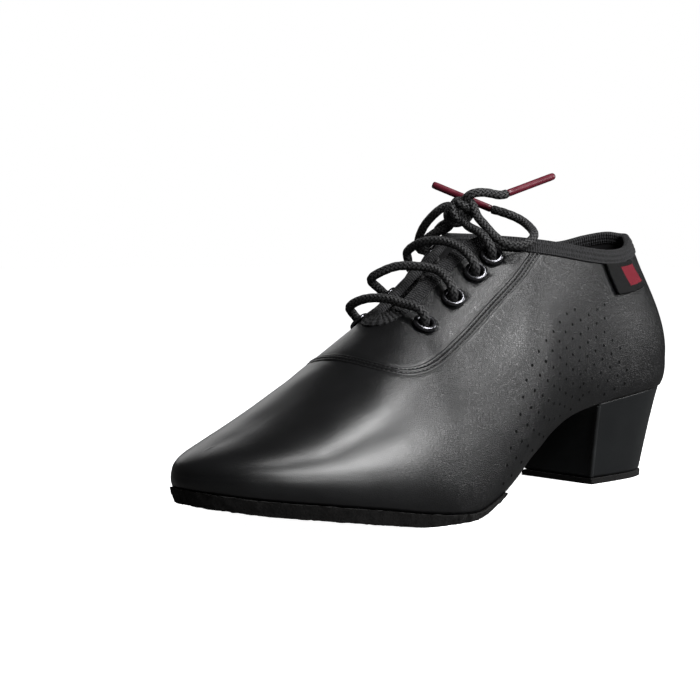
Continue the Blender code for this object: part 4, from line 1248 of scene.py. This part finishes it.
def insideField(x, z):
    limit = perforation["rearLimit"]
    for (xa, za), (xb, zb) in zip(limit, limit[1:]):
        if zb <= z <= za:
            return x > xa + (xb - xa) * (za - z) / (za - zb)
    return z > limit[-1][1] - 30.0 and x > limit[-1][0] + 0.4


frontCurve = evenRoute(smoothRoute([Vector((x, 0.0, z)) for x, z in perforation["front"]], 300), 0.1)
cupForm = bmesh.new()
cupCount = 0
for side in (1, -1):
    for rowNumber in range(perforation["rows"]):
        away = rowNumber * perforation["rowGap"]
        shifted = []
        for number in range(0, len(frontCurve), 5):
            run = frontCurve[min(number + 5, len(frontCurve) - 1)] - frontCurve[max(number - 5, 0)]
            run.normalize()
            shifted.append(frontCurve[number] + Vector((run.z, 0.0, -run.x)) * away)
        first = shifted[0]
        lead = [first + Vector((-1.0, 0.0, 0.28)) * step for step in range(24 + int(away * 0.2), 0, -1)]
        line = lead + shifted if rowNumber else shifted
        spots = evenRoute(line, 0.25)
        offset = 0.0 if rowNumber % 2 == 0 else 0.5 * perforation["pitch"]
        step = perforation["pitch"] / 0.25
        walk = offset / 0.25
        while walk < len(spots):
            spot = spots[int(walk)]
            walk += step
            if not insideField(spot.x, spot.z):
                continue
            origin = heelToMiddle + Vector((spot.x, side * 80.0, spot.z)) * mm
            hit, normal, _, _ = smoothSkin.ray_cast(origin, Vector((0.0, -side, 0.0)), 0.09)
            if hit is None or normal.y * side < 0.35:
                continue
            nearRow = min(range(0, 45), key=lambda n: abs(featherEdge(n * 0.25 + 3.0, side).x - hit.x))
            if hit.z < featherEdge(nearRow * 0.25 + 3.0, side).z + perforation["aboveSole"] * mm:
                continue
            turn = normal.to_track_quat("Z", "X").to_matrix().to_4x4()
            radius, rim = perforation["radius"] * mm, perforation["rim"] * mm
            frameHere = Matrix.Translation(hit + normal * relief(hit)) @ turn
            cup = ((radius + rim, 0.01), (radius + 0.55 * rim, 0.10), (radius, 0.09), (0.8 * radius, 0.05),
                   (0.0, 0.045))
            laidGrid(cupForm, 4, 8, lambda u, v: frameHere @ Vector((
                cup[round(u * 4)][0] * math.cos(2 * math.pi * v),
                cup[round(u * 4)][0] * math.sin(2 * math.pi * v), cup[round(u * 4)][1] * mm)),
                (0.001, 0.003))
            cupCount += 1
bmesh.ops.remove_doubles(cupForm, verts=cupForm.verts, dist=0.003 * mm)
cupForm.faces.ensure_lookup_table()
cupForm.normal_update()
if cupForm.faces[0].normal.dot(onSkin(cupForm.faces[0].calc_center_median())[1]) < 0:
    bmesh.ops.reverse_faces(cupForm, faces=cupForm.faces)
# The cups carry the painted shade of the holes
cups = finishPiece("quarterPerforations", cupForm, [paintedHoleShade, upperLeather], 80.0)
settle(cups, "black leather")
print("perforations made", cupCount)


# A layer that follows the foot, laid as a sheet and drawn down to its thickness
def footLayer(name, first, final, rowStep, columns, out, top, bottom, materials, shape=None, edge=0.0,
              sideCuts=0):
    form = bmesh.new()
    rows = round((final - first) / rowStep)

    def sheetPoint(u, v, offset, height):
        row = first + u * (final - first)
        ends = []
        for side in (1, -1):
            point = featherEdge(row, side) + featherNormal(row, side) * (out(row) - offset)
            point.z = height(row)
            ends.append(point)
        return ends[0].lerp(ends[1], 0.5 - 0.5 * math.cos(math.pi * v))

    places = laidGrid(form, rows, columns, lambda u, v: sheetPoint(u, v, 0.0, top), (0.25, 0.09))
    below = bmesh.ops.extrude_face_region(form, geom=list(form.faces))
    lowered = [item for item in below["geom"] if isinstance(item, bmesh.types.BMVert)]
    lookup = KDTree(len(places))
    order = list(places.values())
    for number, vert in enumerate(places):
        lookup.insert(vert.co, number)
    lookup.balance()
    for vert in lowered:
        u, v = order[lookup.find(vert.co)[1]]
        vert.co = sheetPoint(u, v, edge, bottom)
    closeForm(form, 0.01 * mm)
    if sideCuts:
        upright = [edgeLine for edgeLine in form.edges
                   if abs(edgeLine.verts[0].co.z - edgeLine.verts[1].co.z) > 1.2 * mm]
        bmesh.ops.subdivide_edges(form, edges=upright, cuts=sideCuts, use_grid_fill=True)
    if shape:
        for vert in form.verts:
            vert.co = shape(vert.co)
    return finishPiece(name, form, materials, 60.0)


def insoleBottom(row):
    rise = clamped(row - last["waistRows"][0] + 1.0)
    fall = clamped(last["waistRows"][1] + 1.0 - row)
    share = min(rise, fall)
    return featherHeight(row) + share * share * (3.0 - 2.0 * share) * (last["wall"] + last["gap"])


insole = footLayer("insoleBed", 0.0, last["toeRow"], 0.125, 24, lambda row: -(last["wall"] + last["gap"]),
                   lambda row: insoleBottom(row) + 2.5 * mm, insoleBottom, [insoleCloth])
settle(insole, "insole cloth", "insole")

soleLook = {"edge": 1.0, "undercut": 1.5, "bevel": 0.9, "nap": 0.42}


def suedeNap(point):
    lift = noise.noise_vector(point * 900.0) + 0.8 * noise.noise_vector(point * 330.0)
    lift.z *= 0.6 if point.z > 1.0 * mm else 0.0
    return point + lift * soleLook["nap"] * mm


def soleReach(row):
    tip = clamped((row - 18.5) / 2.5)
    return (soleLook["edge"] - 0.75 * tip * tip) * mm


outsole = footLayer("forefootSole", last["soleTail"], last["toeRow"], 0.0625, 30, soleReach,
                    lambda row: featherHeight(row) - last["gap"],
                    lambda row: featherHeight(row) - last["gap"] - soleDepth(row),
                    [soleSuede], suedeNap, soleLook["undercut"] * mm, 4)
roundEdges(outsole, "soft edge", soleLook["bevel"], 3, 50.0)
settle(outsole, "sole suede", "outsole")

# Heel block with its cover turned round the front corners, and its lift
heelLook = {
    "footLength": 42.5, "footWidth": 37.0, "footBack": 11.5, "hollow": 1.6, "lift": 2.2, "inset": 0.7,
    "liftEdge": 0.5, "corner": 1.1, "bead": 1.5,
}
seatRows = [number * 0.1 for number in range(50)]
seatPoints = []
for row, side in [(row, 1) for row in reversed(seatRows)] + [(row, -1) for row in seatRows[1:]]:
    point = featherEdge(row, side) - featherNormal(row, side) * heelLook["inset"] * mm
    point.z = featherHeight(row) - last["gap"]
    seatPoints.append(point)
breastPoints = [seatPoints[-1].lerp(seatPoints[0], number / 16) for number in range(1, 16)]
seatStart = min(point.x for point in seatPoints)
seatEnd = max(point.x for point in seatPoints)
seatHalf = max(abs(point.y - heelToMiddle.y) for point in seatPoints)


def heelFoot(point, outward):
    share = (point.x - seatStart) / (seatEnd - seatStart)
    along = (heelLook["footBack"] - outward + share * (heelLook["footLength"] + 2 * outward)) * mm
    across = (point.y - heelToMiddle.y) / seatHalf * (0.5 * heelLook["footWidth"] + outward) * mm
    return heelToMiddle.x + along, heelToMiddle.y + across


heelRing = seatPoints + breastPoints
heelForm = bmesh.new()


def heelPlace(u, v):
    number = round(u * len(heelRing)) % len(heelRing)
    point = heelRing[number]
    footX, footY = heelFoot(point, 0.0)
    narrow = v ** 0.88
    spot = Vector((point.x + (footX - point.x) * narrow, point.y + (footY - point.y) * narrow,
                   point.z + (heelLook["lift"] * mm + last["gap"] - point.z) * v))
    if number >= len(seatPoints):
        spot.x -= heelLook["hollow"] * mm * math.sin(math.pi * v)
    return spot


laidGrid(heelForm, len(heelRing), 30, heelPlace, (0.16, 0.04))
bmesh.ops.remove_doubles(heelForm, verts=heelForm.verts, dist=0.01 * mm)
capEnds(heelForm)
faceOut(heelForm)
heel = finishPiece("heelBlock", heelForm, [heelLeather], 45.0)
roundEdges(heel, "turned cover", heelLook["corner"], 4, 55.0)
settle(heel, "heel cover", "heel")

# The cover is folded over the front corners in a thin bead, coloured lighter than the heel as a painted
# highlight along each corner
edgeForm = bmesh.new()
for index in (0, len(seatPoints) - 1):
    edgeRoute = [heelPlace(index / len(heelRing), 0.03 + 0.95 * number / 40) for number in range(41)]
    outward = Vector((0.35, 0.35 if edgeRoute[0].y > heelToMiddle.y else -0.35, 0.0)) * mm
    edgeRoute = [point - outward for point in edgeRoute]
    addTube(edgeForm, edgeRoute, heelLook["bead"] * mm, 12)
capEnds(edgeForm)
faceOut(edgeForm)
settle(finishPiece("heelCoverEdge", edgeForm, [coverEdgeHighlight], 60.0), "heel cover")

liftForm = bmesh.new()
liftRing = [Vector((*heelFoot(point, heelLook["liftEdge"]), 0.0)) for point in heelRing]
laidGrid(liftForm, len(liftRing), 5,
         lambda u, v: liftRing[round(u * len(liftRing)) % len(liftRing)]
         + Vector((0.0, 0.0, v * heelLook["lift"] * mm)), (0.16, 0.003))
bmesh.ops.remove_doubles(liftForm, verts=liftForm.verts, dist=0.01 * mm)
capEnds(liftForm)
faceOut(liftForm)
for vert in liftForm.verts:
    if 0.2 * mm < vert.co.z:
        vert.co += noise.noise_vector(vert.co * 900.0) * 0.08 * mm
lift = finishPiece("heelTopPiece", liftForm, [soleSuede], 45.0)
settle(lift, "sole suede", "heel_lift")
print("sole, heel and insole made")

# Side tag: a folded woven loop stitched under the binding
tagLook = {"rows": (2.9, 4.4), "slant": 0.4, "drop": 5.0, "height": 12.5, "thick": 1.2, "rounding": 0.35}
tagForm = bmesh.new()


def tagPlace(u, v):
    first, final = tagLook["rows"]
    row = first + (final - first) * u - v * tagLook["slant"]
    level = levelBelowEdge(row, 1, (tagLook["drop"] + v * tagLook["height"]) * mm)
    bulge = 0.35 * math.sin(math.pi * u) * v
    out = last["gap"] + (tagLook["thick"] + bulge) * mm
    return skin(row, level, 1) + skinNormal(row, level, 1) * out


tagSpots = laidGrid(tagForm, 24, 20, tagPlace, (0.021, 0.0125))
faceOut(tagForm)
for face in tagForm.faces:
    across = sum(tagSpots[vert][0] for vert in face.verts) / len(face.verts)
    down = sum(tagSpots[vert][1] for vert in face.verts) / len(face.verts)
    if 0.04 < across < 0.54 and 0.16 < down < 0.80:
        face.material_index = 1
tagForm.faces.ensure_lookup_table()
if tagForm.faces[0].normal.y < 0:
    bmesh.ops.reverse_faces(tagForm, faces=tagForm.faces)
tag = finishPiece("sideTag", tagForm, [tagWeave, tagField], 60.0)
fold = tag.modifiers.new("tag thickness", "SOLIDIFY")
fold.thickness = tagLook["thick"] * mm
fold.offset = -1.0
roundEdges(tag, "tag edges", tagLook["rounding"], 3, 60.0)
settle(tag, "tag weave", "side_tag")
print("tag made")

# Floor: plain and pale, not part of the shoe
floorForm = bmesh.new()
bmesh.ops.create_grid(floorForm, x_segments=1, y_segments=1, size=6.0)
floor = finishPiece("studioFloor", floorForm, [], 30.0)
floorMaterial, floorTree, floorShader = newFinish(
    "studioFloor", room["floorColour"],
    {"Roughness": 0.9, "Specular IOR Level": 0.0, "Emission Strength": 1.0})
floorRay = floorTree.nodes.new("ShaderNodeLightPath").outputs["Is Camera Ray"]
floorTree.links.new(mixColour(floorTree, floorRay, room["floorShade"], room["floorColour"]),
                    floorShader.inputs["Base Color"])
floorTree.links.new(mixColour(floorTree, floorRay, (0.0, 0.0, 0.0), (room["floorGlow"],) * 3),
                    floorShader.inputs["Emission Color"])
floor.data.materials.append(floorMaterial)
